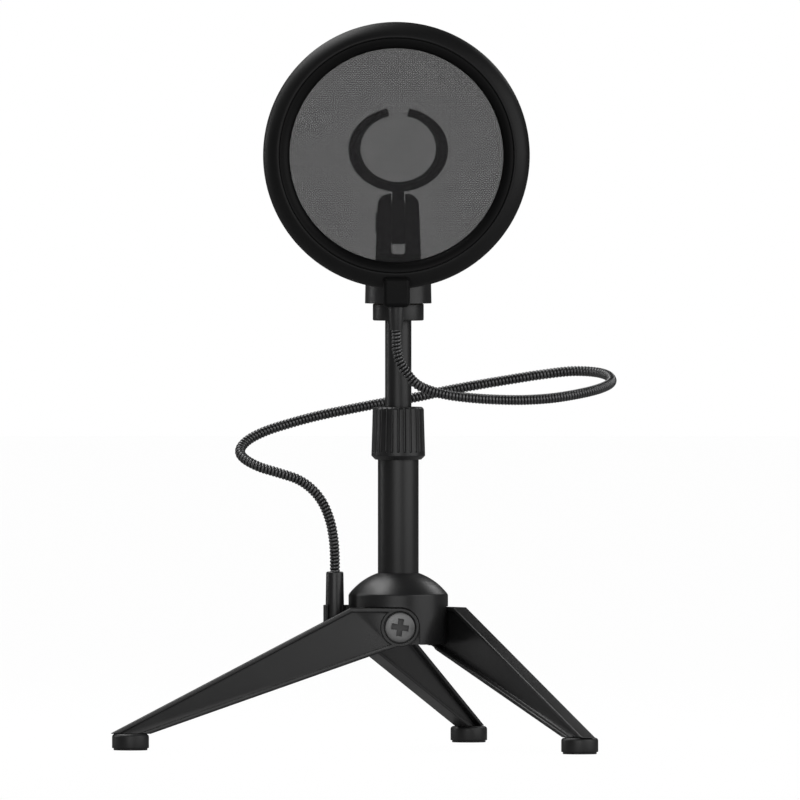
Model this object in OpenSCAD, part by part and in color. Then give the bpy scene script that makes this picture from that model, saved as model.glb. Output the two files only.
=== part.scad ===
/* [Hub] */
// Diameter of the hub
hub_d = 38.3; // [37:0.1:41]
// Height of the hub's straight side
hub_side = 19; // [17:0.1:21]
// Height of the dome from the side's edge to the tube
dome_rise = 8.3; // [7:0.1:12]
// Distance of the centre of the dome's arc from the axis
dome_offset = 0; // [0:0.1:4]
// Height of the leg pivots above the floor
pivot_h = 47.1; // [42:0.1:54]
// Height of the leg pivots above the hub's underside
pivot_rise = 6.7; // [6:0.1:7]
// Depth of the tube's socket below the dome's top
socket_depth = 15.7; // [14:0.1:16]

/* [Legs] */
// Direction of the left leg from the mast, in degrees
left_az = 182; // [176:0.1:188]
// Direction of the right leg
right_az = 302.4; // [296:0.1:308]
// Direction of the rear leg
rear_az = 65.8; // [60:0.1:72]
// Distance from a leg's pivot to the centre of its foot, along the leg
leg_reach = 103.5; // [80:0.1:140]
// Thickness of a leg across its flanges
leg_t = 5.2; // [4.8:0.1:5.8]
// Thickness of the web between the flanges
web_t = 2.2; // [1.8:0.1:4]
// Diameter of the round boss at the pivot
boss_d = 15; // [14.5:0.1:15.6]
// Length of the flat top from the pivot to the knee
knee = 19; // [14:0.1:30]
// Height of the flanges along the leg's edges
flange = 1.7; // [1:0.1:2.4]
// Distance from the pivot to the line of the leg's lower edge
root_r = 6.65; // [5:0.05:7.2]
// Length of the flat that stands on the foot
leg_end = 15.4; // [13:0.1:18]

/* [Feet] */
// Diameter of a foot
foot_d = 14.2; // [12:0.1:18]
// Height of a foot
foot_h = 6.3; // [4:0.1:9]
// Radius of a foot's top edge
foot_edge = 1.2; // [0.5:0.1:2]
// Inset of the tread below the foot's side
tread_inset = 0.6; // [0.2:0.1:1.2]
// Height of the tread
tread_h = 0.8; // [0.4:0.1:1.4]
// Diameter of the stem that holds a foot in its leg
stem_d = 1.2; // [0.9:0.1:1.3]
// Length of that stem
stem_l = 3; // [2:0.1:3.5]

/* [Leg pivots] */
// Diameter of a pivot screw's head
head_d = 11.5; // [9:0.1:12]
// Height of that head
head_h = 2; // [1.4:0.1:2.4]
// Diameter of the screw's shoulder, which the leg turns on
shoulder_d = 5; // [4.4:0.1:5.6]
// Diameter of the screw's threaded end
thread_d = 4; // [3:0.1:4.2]
// Thickness of the friction washer behind a leg
washer_t = 0.5; // [0.3:0.1:0.8]
// Diameter of the threaded insert in the hub
insert_d = 6.2; // [5.6:0.1:6.6]
// Length of that insert
insert_l = 6.4; // [5:0.1:6.6]

/* [Mast] */
// Diameter of the outer tube
tube_d = 15.7; // [15:0.1:16.4]
// Wall of the outer tube
tube_wall = 1; // [0.7:0.05:1.3]
// Length of the outer tube
tube_len = 69.5; // [62:0.1:90]
// Height of the plug in the outer tube's foot
plug_h = 8; // [6:0.1:12]
// Diameter of the bolt that holds the tube in the hub
bolt_d = 6; // [5:0.1:7]
// Diameter of the inner tube
mast_d = 10.15; // [9:0.05:11]
// Wall of the inner tube
mast_wall = 0.9; // [0.6:0.05:1.2]
// Length of the inner tube that stands out of the clutch
mast_out = 33.2; // [26:0.1:40]
// Length of the inner tube that is inside the clutch and the outer tube
mast_in = 51.6; // [44:0.1:56]
// Height of the guide bush on the inner tube's foot
bush_h = 9; // [6:0.1:12]

/* [Clutch] */
// Height of the clutch collar
collar_h = 20.3; // [18:0.1:26]
// Diameter of the collar at its foot
collar_d = 20.7; // [20:0.1:24]
// Diameter of the collar at its top
collar_top_d = 19.7; // [19:0.1:23]
// Length of the outer tube that is inside the collar
collar_grip = 10.2; // [8:0.1:12]
// Number of flutes round the collar
flutes = 26; // [18:1:30]
// Width of a flute
flute_w = 1.1; // [0.8:0.1:1.6]
// Height of the plain band below the flutes
collar_band = 3; // [2:0.1:5]
// Length of the collet's skirt inside the outer tube
skirt_l = 9.5; // [6:0.1:12]
// Number of slits in the collet
slits = 4; // [3:1:6]

/* [Microphone thread] */
// Diameter of the flange under the thread
stud_flange_d = 19.6; // [17:0.1:24]
// Height of that flange
stud_flange_h = 6.5; // [4:0.1:9]
// Diameter of the thread that the clip screws on
stud_d = 15.88; // [15:0.01:16.5]
// Length of that thread
stud_l = 11.5; // [9:0.1:12]

/* [Microphone clip] */
// Diameter of the clip's base at its foot
base_d = 25.6; // [24:0.1:30]
// Diameter of the base at its top
base_top_d = 25; // [23.5:0.1:29]
// Height of the base
base_h = 14.5; // [13.5:0.1:18]
// Height of the tilt pivot above the foot of the base
tilt_h = 31.1; // [30:0.1:36]
// Width of the yoke at its foot
yoke_w = 17.8; // [16.5:0.1:20]
// Width of the yoke at its top
yoke_top_w = 16; // [15:0.1:18]
// Height of the ears above the pivot
ear_rise = 11; // [10:0.1:11.4]
// Half the depth of an ear, and the radius of its top
ear_r = 9; // [8:0.1:10]
// Radius of the ears' outer corners
ear_corner = 4.6; // [0.5:0.1:5]
// Thickness of the tongue between the ears
tongue_t = 5; // [4:0.1:6]
// How much thinner the tongue is above the ears
tongue_step = 0.4; // [0.2:0.1:1]
// Radius of the tongue round the pivot
tongue_r = 8.4; // [6:0.1:9]
// Depth of the slot below the pivot
slot_drop = 12.3; // [10.5:0.1:13]
// Height of the holder's centre above the pivot
holder_rise = 28.2; // [27:0.1:34]
// Length of the holder
holder_l = 42; // [34:0.1:46]
// Width of the holder at its front
holder_w = 38.4; // [34:0.1:42]
// Height of the holder at its front
holder_h = 32.4; // [28:0.1:32.6]
// Wall of the holder
holder_wall = 3.2; // [2.5:0.1:3.8]
// How much narrower the holder is at its back
holder_taper = 3; // [0:0.1:6]
// How much lower the holder is at its back
holder_drop = 0.4; // [0:0.1:4]
// Width of the mouth between the holder's inner lips
mouth_w = 7; // [5:0.1:12]
// Diameter of the tilt screw
tilt_screw_d = 5; // [4:0.1:5.6]
// Diameter of the tilt screw's head
tilt_head_d = 8; // [7:0.1:9]
// Width of the tilt nut across its flats
nut_af = 8; // [7:0.1:9]

/* [Filter ring] */
// Diameter of the hoop
ring_d = 102.2; // [98:0.1:110]
// Depth of the hoop at its inner edge
ring_depth = 10.8; // [9:0.1:13]
// Width of the hoop's outer rim
rim_w = 0.6; // [0.2:0.1:3]
// Distance of the centre of the hoop's crown arc inside its seat
crown_inset = 1.8; // [0:0.1:4]
// Radial width of the hoop's band
band_w = 6.1; // [5:0.1:7]
// Radial width of the clamp rings
clamp_w = 3.4; // [2.4:0.1:3.6]
// Width of the ledge that keeps the two screens apart
ledge_w = 2.4; // [1.6:0.1:3.6]
// Thickness of a screen
screen_t = 0.4; // [0.2:0.1:0.8]
// Spacing of the screen's strands
net_pitch = 4.3; // [4.3:0.1:8]
// Width of a strand
net_strand = 0.7; // [0.4:0.1:1.5]
// Width of the socket block below the hoop
block_w = 10.3; // [9:0.1:14]
// Height of the socket block
block_h = 11.5; // [10:0.1:11.8]
// Depth of the socket block
block_depth = 13; // [11:0.1:16]
// How far the block reaches up over the hoop's band
block_lap = 4.4; // [3:0.1:5]
// Radius of the block's corners
block_corner = 1.8; // [0.6:0.1:3]

/* [Gooseneck] */
// Diameter over the ribs
neck_d = 3.8; // [3:0.1:4]
// Depth of the grooves between the ribs
neck_groove = 0.35; // [0.1:0.05:0.5]
// Diameter of the bore
neck_bore = 1.8; // [1:0.1:2]
// Number of ribs
neck_ribs = 160; // [80:1:200]
// Length of the neck that is inside each ferrule
neck_in = 6; // [4:0.1:6.4]
// Diameter of the upper ferrule at the socket block
ferrule_d = 6; // [5.6:0.1:7]
// Diameter of the upper ferrule at its lower end
ferrule_tip_d = 4.7; // [4.6:0.1:6]
// Length of the upper ferrule below the block
ferrule_l = 8.7; // [8:0.1:12]
// Length of the upper ferrule inside the block
ferrule_spigot = 7.5; // [6:0.1:8.5]
// Diameter of the lower ferrule at its top
foot_ferrule_top_d = 6.65; // [6.2:0.05:7]
// Diameter of the lower ferrule in its clip
foot_ferrule_d = 7.06; // [6.8:0.02:7.4]
// Length of the lower ferrule
foot_ferrule_l = 24.8; // [22:0.1:26]
// Thickness of the clip that holds the lower ferrule
clip_wall = 0.85; // [0.6:0.05:1.2]
// Width of that clip's mouth
clip_mouth = 5.4; // [4:0.1:6]
// Width of the bracket's arm
arm_w = 3.6; // [3.2:0.1:3.8]
// Height of the arm
arm_h = 14.6; // [12:0.1:15]
// Depth of the arm's seat in the hub
arm_seat = 2; // [1.6:0.1:2.2]
// Diameter of the bracket's screw
bracket_screw_d = 2; // [1.6:0.1:2.2]

/* [Fits] */
// Gap between pieces that move past each other
run_gap = 0.3; // [0.2:0.05:0.4]
// Radial clearance of pins, bores and tubes
fit_gap = 0.05; // [0.03:0.01:0.08]

/* [Hidden] */
$fn = 64;
over = 1;
far = 60;

plastic = [0.16, 0.16, 0.165];
metal = [0.12, 0.12, 0.125];
steel = [0.42, 0.42, 0.43];
brass = [0.72, 0.58, 0.3];
rubber = [0.08, 0.08, 0.08];
nylon = [0.2, 0.2, 0.21];

// Hub and legs. A leg lies in a plane beside the mast and turns on a screw that points at the mast.
hub_r = hub_d / 2;
tube_r = tube_d / 2;
hub_z = pivot_h - pivot_rise;
crease_z = hub_z + hub_side;
dome_z = crease_z + dome_rise;
dome_c = (pow(tube_r - dome_offset, 2) + pow(dome_rise, 2) - pow(hub_r - dome_offset, 2)) / (2 * dome_rise);
dome_r = norm([hub_r - dome_offset, dome_c]);
socket_z = dome_z - socket_depth;
boss_r = boss_d / 2;
leg_out = hub_r;
leg_in = leg_out - leg_t;
leg_mid = (leg_in + leg_out) / 2;
pocket_floor = leg_in - washer_t - 2 * fit_gap;
pocket_r = boss_r + run_gap;
insert_in = pocket_floor - insert_l;
head_z = leg_out - fit_gap;
head_seat = head_z - head_h;
leg_azimuths = [left_az, right_az, rear_az];

// A leg's outline, along the leg and up from its pivot
foot_v = foot_h - pivot_h;
toe = [leg_reach + leg_end / 2, foot_v];
heel = [leg_reach - leg_end / 2, foot_v];
knee_p = [knee, boss_r];
top_a = atan2(toe.y - knee_p.y, toe.x - knee_p.x);
root_a = atan2(heel.y, heel.x) - acos(root_r / norm(heel));
root_p = root_r * [cos(root_a), sin(root_a)];
low_a = root_a + 90;

// Mast
tube_z = socket_z;
tube_top = tube_z + tube_len;
tube_bore = tube_r - tube_wall;
collar_z = tube_top - collar_grip;
collar_top = collar_z + collar_h;
mast_r = mast_d / 2;
mast_bore = mast_r - mast_wall;
mast_z = collar_top - mast_in;
mast_top = collar_top + mast_out;
bush_lip = 2;
bolt_r = bolt_d / 2;
bolt_head_r = 5;
bolt_head_h = 4.4;
bolt_recess = 5;
collet_top = collar_top - 1.2;
collet_tip_r = mast_r + 0.85;
collar_mouth_r = mast_r + 0.4;
slit_w = 0.8;
collar_chamfer = 1.5;
collar_edge = 1.3;
collar_slope = atan2((collar_d - collar_top_d) / 2, collar_h - collar_chamfer - collar_edge);

// Microphone clip
stud_z = mast_top + stud_flange_h;
stud_r = stud_d / 2;
base_z = stud_z + fit_gap * 2;
base_top = base_z + base_h;
tilt_z = base_z + tilt_h;
insert_wall = 2;
clip_insert_r = stud_r + fit_gap + insert_wall;
clip_insert_h = stud_l + fit_gap * 2;
slot_w = tongue_t + run_gap;
slot_corner = 1.4;
rim_out = tongue_r - 0.9;
rim_in = rim_out - 1.6;
rim_h = 0.25 + run_gap / 2;
mouth_slope = mouth_w / (holder_h - 2 * holder_wall);
yoke_top = tilt_z + ear_rise;
yoke_slope = (yoke_w - yoke_top_w) / 2 / (yoke_top - base_top);
pivot_half = yoke_top_w / 2 + yoke_slope * ear_rise;
tilt_head_sink = 2;
tilt_head_proud = 0.45;
nut_h = 3;
holder_z = tilt_z + holder_rise;
tongue_half = 9;

// The gooseneck's route, from the filter ring down to the hub
neck_route = [[-0.7, -58, 168], [-0.7, -58, 160], [-0.5, -58, 154.5], [0.8, -58, 149.5], [3.6, -57.5, 145],
  [7, -57, 141.3], [12, -56, 138.8], [19, -54, 137], [28, -51, 135.8], [38, -47, 135.1],
  [48, -42, 134.9], [58, -36, 135.4], [67, -29, 136.6], [75, -20.5, 138.2], [80.3, -11, 140],
  [82, -2, 141.8], [80, 6, 143.8], [74.5, 11.5, 144.9], [66, 15, 145], [55, 17, 143.7],
  [43, 18, 141.8], [31, 18.5, 139.8], [19, 19, 137.6], [7, 19, 135], [-6, 19, 132.8],
  [-19, 18.5, 130.3], [-31, 17.5, 127.8], [-42, 15.5, 124.9], [-51.1, 12.5, 122], [-57.8, 9, 118.6],
  [-60.8, 5, 115], [-59.4, 1, 111.8], [-53.6, -2.5, 108.6], [-45.5, -4.5, 106.1], [-38.5, -5.1, 103.7],
  [-33, -5.1, 99.8], [-29, -4.8, 94.6], [-26.3, -4.5, 88], [-24.9, -4.3, 81], [-24.4, -4.3, 74],
  [-24.4, -4.3, 67], [-24.4, -4.3, 62.3]];
neck_sides = 8;
neck_steps = 8;
neck_r = neck_d / 2;
neck_hole = neck_r + 2 * fit_gap;
neck_top = neck_route[0];
neck_foot = neck_route[len(neck_route) - 1];

// Filter ring, in front of the mast
ring_r = ring_d / 2;
seat_r = ring_r - band_w;
clamp_r = seat_r - fit_gap;
open_r = clamp_r - clamp_w;
crown_c = seat_r - crown_inset;
crown_k = pow(ring_r - crown_c, 2) - pow(crown_inset, 2);
crown_back = (crown_k / (ring_depth / 2 - rim_w / 2) - (ring_depth / 2 + rim_w / 2)) / 2;
crown_r = norm([crown_inset, ring_depth / 2 + crown_back]);
screen_a = ledge_w / 2;
clamp_a = screen_a + screen_t;
net_cells = floor(open_r / net_pitch);
ferrule_r = ferrule_d / 2;
ferrule_z = neck_top.z - neck_in;
block_z = ferrule_z + ferrule_l;
block_top = block_z + block_h;
ring_z = block_top - block_lap + ring_r;
grub_d = 3;
grub_z = block_z + ferrule_spigot / 2;
grub_key = 1.5;

// Lower end of the gooseneck
foot_ferrule_r = foot_ferrule_d / 2;
foot_ferrule_top = neck_foot.z + neck_in;
foot_ferrule_z = foot_ferrule_top - foot_ferrule_l;
clip_hole = foot_ferrule_r + fit_gap;
clip_r = clip_hole + clip_wall;
arm_a = atan2(neck_foot.y, neck_foot.x);
arm_reach = norm([neck_foot.x, neck_foot.y]);
arm_z = hub_z + 0.5;
arm_top = arm_z + arm_h;
arm_in = hub_r - arm_seat;
bracket_screw_z = (arm_z + arm_top) / 2;
bracket_screw_l = 5;
bracket_screw_in = arm_in - bracket_screw_l;
bracket_head_d = arm_w - 0.6;
bracket_head_h = 1.2;

// Where two lines cross, each given by a point and a direction
function crossing(p, a, q, b) =
  p + [cos(a), sin(a)] * ((q.x - p.x) * sin(b) - (q.y - p.y) * cos(b)) / sin(b - a);

// Moves a point square to a direction
function aside(p, a, d) = p + d * [-sin(a), cos(a)];

// Smooth curve through the route's points
function curve(a, b, c, d, t) =
  (2 * b + (c - a) * t + (2 * a - 5 * b + 4 * c - d) * t * t + (3 * b - a - 3 * c + d) * t * t * t) / 2;
function route_point(i) =
  i < 0 ? 2 * neck_route[0] - neck_route[1]
  : i >= len(neck_route) ? 2 * neck_foot - neck_route[len(neck_route) - 2]
  : neck_route[i];
neck_line = [for (i = [0 : len(neck_route) - 2], k = [0 : neck_steps - 1])
    curve(route_point(i - 1), route_point(i), route_point(i + 1), route_point(i + 2), k / neck_steps),
  neck_foot];
neck_s = [for (i = 0, s = 0; i < len(neck_line);
    s = s + (i + 1 < len(neck_line) ? norm(neck_line[i + 1] - neck_line[i]) : 0), i = i + 1) s];
neck_length = neck_s[len(neck_s) - 1];
neck_axes = [for (k = [0 : 2]) [for (i = [0 : len(neck_line) - 1]) [neck_s[i], neck_line[i][k]]]];
function neck_at(s) = [for (k = [0 : 2]) lookup(s, neck_axes[k])];
function unit(v) = v / norm(v);
function neck_dir(s) = unit(neck_at(min(s + 0.4, neck_length)) - neck_at(max(s - 0.4, 0)));
function square_to(n, t) = unit(n - (n * t) * t);

// Places, radii and faces of the ribbed tube
rib_pitch = (neck_length - 2 * neck_d) / neck_ribs;
outer_s = [0, for (i = [0 : 2 * neck_ribs]) neck_d + i * rib_pitch / 2, neck_length];
outer_r = [for (i = [0 : len(outer_s) - 1])
    i > 1 && i < len(outer_s) - 2 && i % 2 == 0 ? neck_r : neck_r - neck_groove];
bore_rings = 81;
bore_s = [for (i = [0 : bore_rings - 1]) neck_length * i / (bore_rings - 1)];
function normals(places) = [for (i = 0, n = [1, 0, 0]; i < len(places);
    i = i + 1, n = i < len(places) ? square_to(n, neck_dir(places[i])) : n) n];
function ring_points(p, t, n, r) =
  let (b = cross(t, n)) [for (k = [0 : neck_sides - 1])
    p + r * (n * cos(360 * k / neck_sides) + b * sin(360 * k / neck_sides))];
function sleeve_points(places, radii) =
  let (ns = normals(places)) [for (i = [0 : len(places) - 1])
    each ring_points(neck_at(places[i]), neck_dir(places[i]), ns[i], radii[i])];
function strip(a, b, flip) = [for (k = [0 : neck_sides - 1])
    let (j = (k + 1) % neck_sides)
    each flip ? [[a + k, b + k, a + j], [a + j, b + k, b + j]]
      : [[a + k, a + j, b + k], [a + j, b + j, b + k]]];
function sleeve_faces(first, rings, flip) = [for (i = [0 : rings - 2])
    each strip(first + i * neck_sides, first + (i + 1) * neck_sides, flip)];

module at_leg(az) {
  rotate([0, 0, az]) children();
}

// Stands a flat outline up in a leg's plane, from one distance to another from the mast
module in_leg_plane(from, to) {
  translate([0, to, pivot_h]) rotate([90, 0, 0]) linear_extrude(to - from) children();
}

module pivot_rod(r, from, to) {
  translate([0, from, pivot_h]) rotate([-90, 0, 0]) cylinder(r = r, h = to - from);
}

module ring_of(r_out, r_in, h) {
  difference() {
    cylinder(r = r_out, h = h);
    translate([0, 0, -over]) cylinder(r = r_in, h = h + 2 * over);
  }
}

module tube(r, wall, z, top) {
  translate([0, 0, z]) ring_of(r, r - wall, top - z);
}

module pocket_outline() {
  circle(pocket_r);
  translate([-pocket_r, -far]) square([far, far]);
  translate([0, -far]) square([far, far + pocket_r]);
}

module hub_section() {
  translate([0, hub_z]) square([hub_r, hub_side]);
  intersection() {
    translate([dome_offset, crease_z + dome_c]) circle(dome_r);
    translate([0, hub_z]) square([hub_r, hub_side + dome_rise]);
  }
}

module hub() {
  color(plastic) difference() {
    rotate_extrude() hub_section();
    translate([0, 0, socket_z]) cylinder(r = tube_r + fit_gap, h = far);
    translate([0, 0, hub_z - over]) cylinder(r = bolt_r + fit_gap, h = far);
    translate([0, 0, hub_z - over]) cylinder(r = bolt_head_r + run_gap, h = bolt_recess + over);
    for (az = leg_azimuths) at_leg(az) {
      in_leg_plane(pocket_floor, far) pocket_outline();
      pivot_rod(insert_d / 2 + fit_gap, insert_in, far);
    }
    rotate([0, 0, arm_a]) {
      translate([arm_in, -arm_w / 2 - fit_gap, hub_z - over])
        cube([far, arm_w + 2 * fit_gap, arm_top - hub_z + fit_gap + over]);
      translate([bracket_screw_in, 0, bracket_screw_z])
        rotate([0, 90, 0]) cylinder(d = bracket_screw_d + 2 * fit_gap, h = far);
    }
  }
}

module hub_bolt() {
  color(steel) difference() {
    union() {
      translate([0, 0, hub_z + bolt_recess - bolt_head_h]) cylinder(r = bolt_head_r, h = bolt_head_h);
      translate([0, 0, hub_z + bolt_recess])
        cylinder(r = bolt_r, h = tube_z + plug_h - over - hub_z - bolt_recess);
    }
    translate([0, 0, hub_z + bolt_recess - bolt_head_h - over])
      cylinder(r = bolt_r, h = bolt_head_h / 2 + over, $fn = 6);
  }
}

module tube_plug() {
  color(steel) translate([0, 0, tube_z]) ring_of(tube_bore - fit_gap, bolt_r + fit_gap, plug_h);
}

module outer_tube() {
  color(metal) tube(tube_r, tube_wall, tube_z, tube_top);
}

module inner_tube() {
  color(metal) tube(mast_r, mast_wall, mast_z, mast_top);
}

module tube_bush() {
  color(nylon) translate([0, 0, mast_z - bush_lip]) difference() {
    cylinder(r = tube_bore - fit_gap, h = bush_h);
    translate([0, 0, -over]) cylinder(r = mast_bore, h = far);
    translate([0, 0, bush_lip]) cylinder(r = mast_r + fit_gap / 2, h = far);
  }
}

module collet_section() {
  hole = mast_r + fit_gap;
  polygon([[hole, tube_top - skirt_l], [tube_bore - fit_gap, tube_top - skirt_l],
    [tube_bore - fit_gap, tube_top], [tube_r - run_gap, tube_top],
    [collet_tip_r, collet_top], [hole, collet_top]]);
}

module clutch_collet() {
  color(nylon) difference() {
    rotate_extrude() collet_section();
    for (k = [0 : slits - 1]) rotate([0, 0, 360 * k / slits + 45])
      translate([0, -slit_w / 2, tube_top - skirt_l / 2]) cube([far, slit_w, far]);
  }
}

module collar_section() {
  chamfer = collar_chamfer;
  edge = collar_edge;
  edge_r = collar_top_d / 2;
  bore = tube_r + run_gap / 2;
  difference() {
    union() {
      polygon([[0, collar_z], [collar_d / 2 - chamfer, collar_z], [collar_d / 2, collar_z + chamfer],
        [edge_r, collar_top - edge], [0, collar_top - edge]]);
      translate([0, collar_top - 2 * edge]) square([edge_r - edge, 2 * edge]);
      translate([edge_r - edge, collar_top - edge]) circle(edge);
    }
    polygon([[-over, collar_z - over], [bore, collar_z - over], [bore, tube_top + run_gap],
      [collet_tip_r + run_gap, collet_top + run_gap], [collar_mouth_r, collet_top + run_gap],
      [collar_mouth_r, collar_top + over], [-over, collar_top + over]]);
  }
}

module clutch_collar() {
  color(plastic) difference() {
    rotate_extrude() collar_section();
    for (k = [0 : flutes - 1]) rotate([0, 0, 360 * k / flutes])
      translate([collar_d / 2, 0, collar_z + collar_chamfer]) rotate([0, -collar_slope, 0])
        translate([0, 0, collar_band - collar_chamfer]) cylinder(d = flute_w, h = far);
  }
}

module thread_stud() {
  spigot = 12;
  lead = 1;
  color(metal) {
    translate([0, 0, mast_top - spigot]) cylinder(r = mast_bore - fit_gap, h = spigot);
    translate([0, 0, mast_top]) cylinder(d = stud_flange_d, h = stud_flange_h);
    translate([0, 0, stud_z]) cylinder(r = stud_r, h = stud_l - lead);
    translate([0, 0, stud_z + stud_l - lead]) cylinder(r1 = stud_r, r2 = stud_r - lead, h = lead);
  }
}

module leg_outline() {
  polygon([[0, boss_r], knee_p, toe, heel, root_p, [0, 0]]);
}

// The hollow beside the web, inside the flanges
module web_outline() {
  top = boss_r - flange;
  slope_p = aside(toe, top_a, -flange);
  low_p = aside(heel, low_a, flange);
  end_p = [0, foot_v - over];
  difference() {
    polygon([[0, top], crossing([0, top], 0, slope_p, top_a), crossing(end_p, 0, slope_p, top_a),
      crossing(end_p, 0, low_p, low_a), aside(root_p, low_a, flange)]);
    circle(boss_r);
  }
}

module leg(az) {
  hollow = (leg_t - web_t) / 2;
  color(plastic) at_leg(az) difference() {
    union() {
      pivot_rod(boss_r, leg_in, leg_out);
      in_leg_plane(leg_in, leg_out) leg_outline();
    }
    in_leg_plane(leg_in - over, leg_in + hollow) web_outline();
    in_leg_plane(leg_out - hollow, leg_out + over) web_outline();
    pivot_rod(shoulder_d / 2 + fit_gap, leg_in - over, leg_out + over);
    pivot_rod(head_d / 2 + run_gap, head_seat - fit_gap, leg_out + over);
    translate([leg_reach, leg_mid, foot_h - over]) cylinder(d = stem_d + fit_gap, h = stem_l + over);
  }
}

module leg_left() { leg(left_az); }
module leg_right() { leg(right_az); }
module leg_rear() { leg(rear_az); }

module foot_section() {
  r = foot_d / 2;
  square([r - tread_inset, foot_h - foot_edge]);
  translate([0, tread_h]) square([r, foot_h - foot_edge - tread_h]);
  square([r - foot_edge, foot_h]);
  translate([r - foot_edge, foot_h - foot_edge]) circle(foot_edge);
}

module foot(az) {
  color(rubber) at_leg(az) translate([leg_reach, leg_mid, 0]) {
    rotate_extrude() foot_section();
    translate([0, 0, foot_h - over]) cylinder(d = stem_d, h = stem_l + over - fit_gap);
  }
}

module foot_left() { foot(left_az); }
module foot_right() { foot(right_az); }
module foot_rear() { foot(rear_az); }

module leg_screws() {
  cross_w = 2.1;
  cross_l = 6.5;
  cross_depth = 1.1;
  cross_turn = -8;
  color(steel) for (az = leg_azimuths) at_leg(az) difference() {
    union() {
      pivot_rod(head_d / 2, head_seat, head_z);
      pivot_rod(shoulder_d / 2, pocket_floor, head_seat);
      pivot_rod(thread_d / 2, insert_in + over, pocket_floor);
    }
    translate([0, head_z - cross_depth, pivot_h]) rotate([-90, cross_turn, 0]) {
      translate([-cross_l / 2, -cross_w / 2, 0]) cube([cross_l, cross_w, cross_depth + over]);
      translate([-cross_w / 2, -cross_l / 2, 0]) cube([cross_w, cross_l, cross_depth + over]);
    }
  }
}

module leg_washers() {
  color(nylon) for (az = leg_azimuths) at_leg(az) difference() {
    pivot_rod(boss_r - over, pocket_floor, pocket_floor + washer_t);
    pivot_rod(shoulder_d / 2 + fit_gap, pocket_floor - over, leg_out);
  }
}

module leg_inserts() {
  color(brass) for (az = leg_azimuths) at_leg(az) difference() {
    pivot_rod(insert_d / 2, insert_in, pocket_floor);
    pivot_rod(thread_d / 2 + fit_gap / 2, insert_in - over, leg_out);
  }
}

module bracket_outline() {
  difference() {
    union() {
      translate([arm_in, -arm_w / 2]) square([arm_reach - arm_in, arm_w]);
      translate([arm_reach, 0]) circle(clip_r);
    }
    translate([arm_reach, 0]) {
      circle(clip_hole);
      rotate(-90 - arm_a) translate([0, -clip_mouth / 2]) square([far, clip_mouth]);
    }
  }
}

module neck_bracket() {
  head_from = arm_reach - clip_hole;
  color(plastic) rotate([0, 0, arm_a]) difference() {
    translate([0, 0, arm_z]) linear_extrude(arm_top - arm_z) bracket_outline();
    translate([0, 0, bracket_screw_z]) rotate([0, 90, 0]) {
      cylinder(d = bracket_screw_d + 2 * fit_gap, h = arm_reach);
      translate([0, 0, head_from - bracket_head_h]) cylinder(d = bracket_head_d + 2 * fit_gap, h = clip_hole);
    }
  }
}

module bracket_screw() {
  head_from = arm_reach - clip_hole - bracket_head_h;
  color(steel) rotate([0, 0, arm_a]) translate([0, 0, bracket_screw_z]) rotate([0, 90, 0]) {
    translate([0, 0, bracket_screw_in + over])
      cylinder(d = bracket_screw_d, h = head_from - bracket_screw_in - over);
    translate([0, 0, head_from]) cylinder(d = bracket_head_d, h = bracket_head_h - over / 2);
  }
}

module ferrule_lower() {
  edge = 0.6;
  top_r = foot_ferrule_top_d / 2;
  color(metal) translate([neck_foot.x, neck_foot.y, 0]) difference() {
    rotate_extrude() polygon([[0, foot_ferrule_z], [foot_ferrule_r - edge, foot_ferrule_z],
      [foot_ferrule_r, foot_ferrule_z + edge], [foot_ferrule_r, arm_top + over],
      [top_r, foot_ferrule_top - edge], [top_r - edge, foot_ferrule_top], [0, foot_ferrule_top]]);
    translate([0, 0, neck_foot.z]) cylinder(r = neck_hole, h = far);
  }
}

module gooseneck() {
  outer = sleeve_points(outer_s, outer_r);
  bore = sleeve_points(bore_s, [for (s = bore_s) neck_bore / 2]);
  first = len(outer);
  last_outer = first - neck_sides;
  last_bore = first + len(bore) - neck_sides;
  faces = concat(sleeve_faces(0, len(outer_s), true), sleeve_faces(first, bore_rings, false),
    strip(0, first, false), strip(last_outer, last_bore, true));
  echo(gooseneck_length = neck_length, rib_pitch = rib_pitch);
  color(metal) polyhedron(points = concat(outer, bore), faces = faces, convexity = 10);
}

module ferrule_upper() {
  tip_r = ferrule_tip_d / 2;
  color(metal) translate([neck_top.x, neck_top.y, 0]) difference() {
    rotate_extrude() polygon([[0, ferrule_z], [tip_r, ferrule_z], [ferrule_r, block_z],
      [ferrule_r, block_z + ferrule_spigot], [0, block_z + ferrule_spigot]]);
    translate([0, 0, ferrule_z - over]) cylinder(r = neck_hole, h = neck_in + over);
  }
}

// Turns the ring's pieces to face forwards
module at_ring() {
  translate([neck_top.x, neck_top.y, ring_z]) rotate([90, 0, 0]) children();
}

module hoop_section() {
  intersection() {
    translate([crown_c, -crown_back]) circle(crown_r);
    translate([crown_c, crown_back]) circle(crown_r);
    translate([seat_r, -ring_depth]) square([ring_d, 2 * ring_depth]);
  }
  translate([open_r, -ledge_w / 2]) square([seat_r + over / 2 - open_r, ledge_w]);
}

module rounded(w, h, r) {
  square([w - 2 * r, h], center = true);
  square([w, h - 2 * r], center = true);
  for (x = [-1, 1], y = [-1, 1]) translate([x * (w / 2 - r), y * (h / 2 - r)]) circle(r);
}

module socket_block() {
  translate([neck_top.x, neck_top.y, block_z]) intersection() {
    linear_extrude(block_h) rounded(block_w, block_depth, block_corner);
    translate([0, block_depth, 0]) rotate([90, 0, 0]) linear_extrude(2 * block_depth)
      rounded(block_w, 2 * block_h, block_corner);
  }
}

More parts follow.
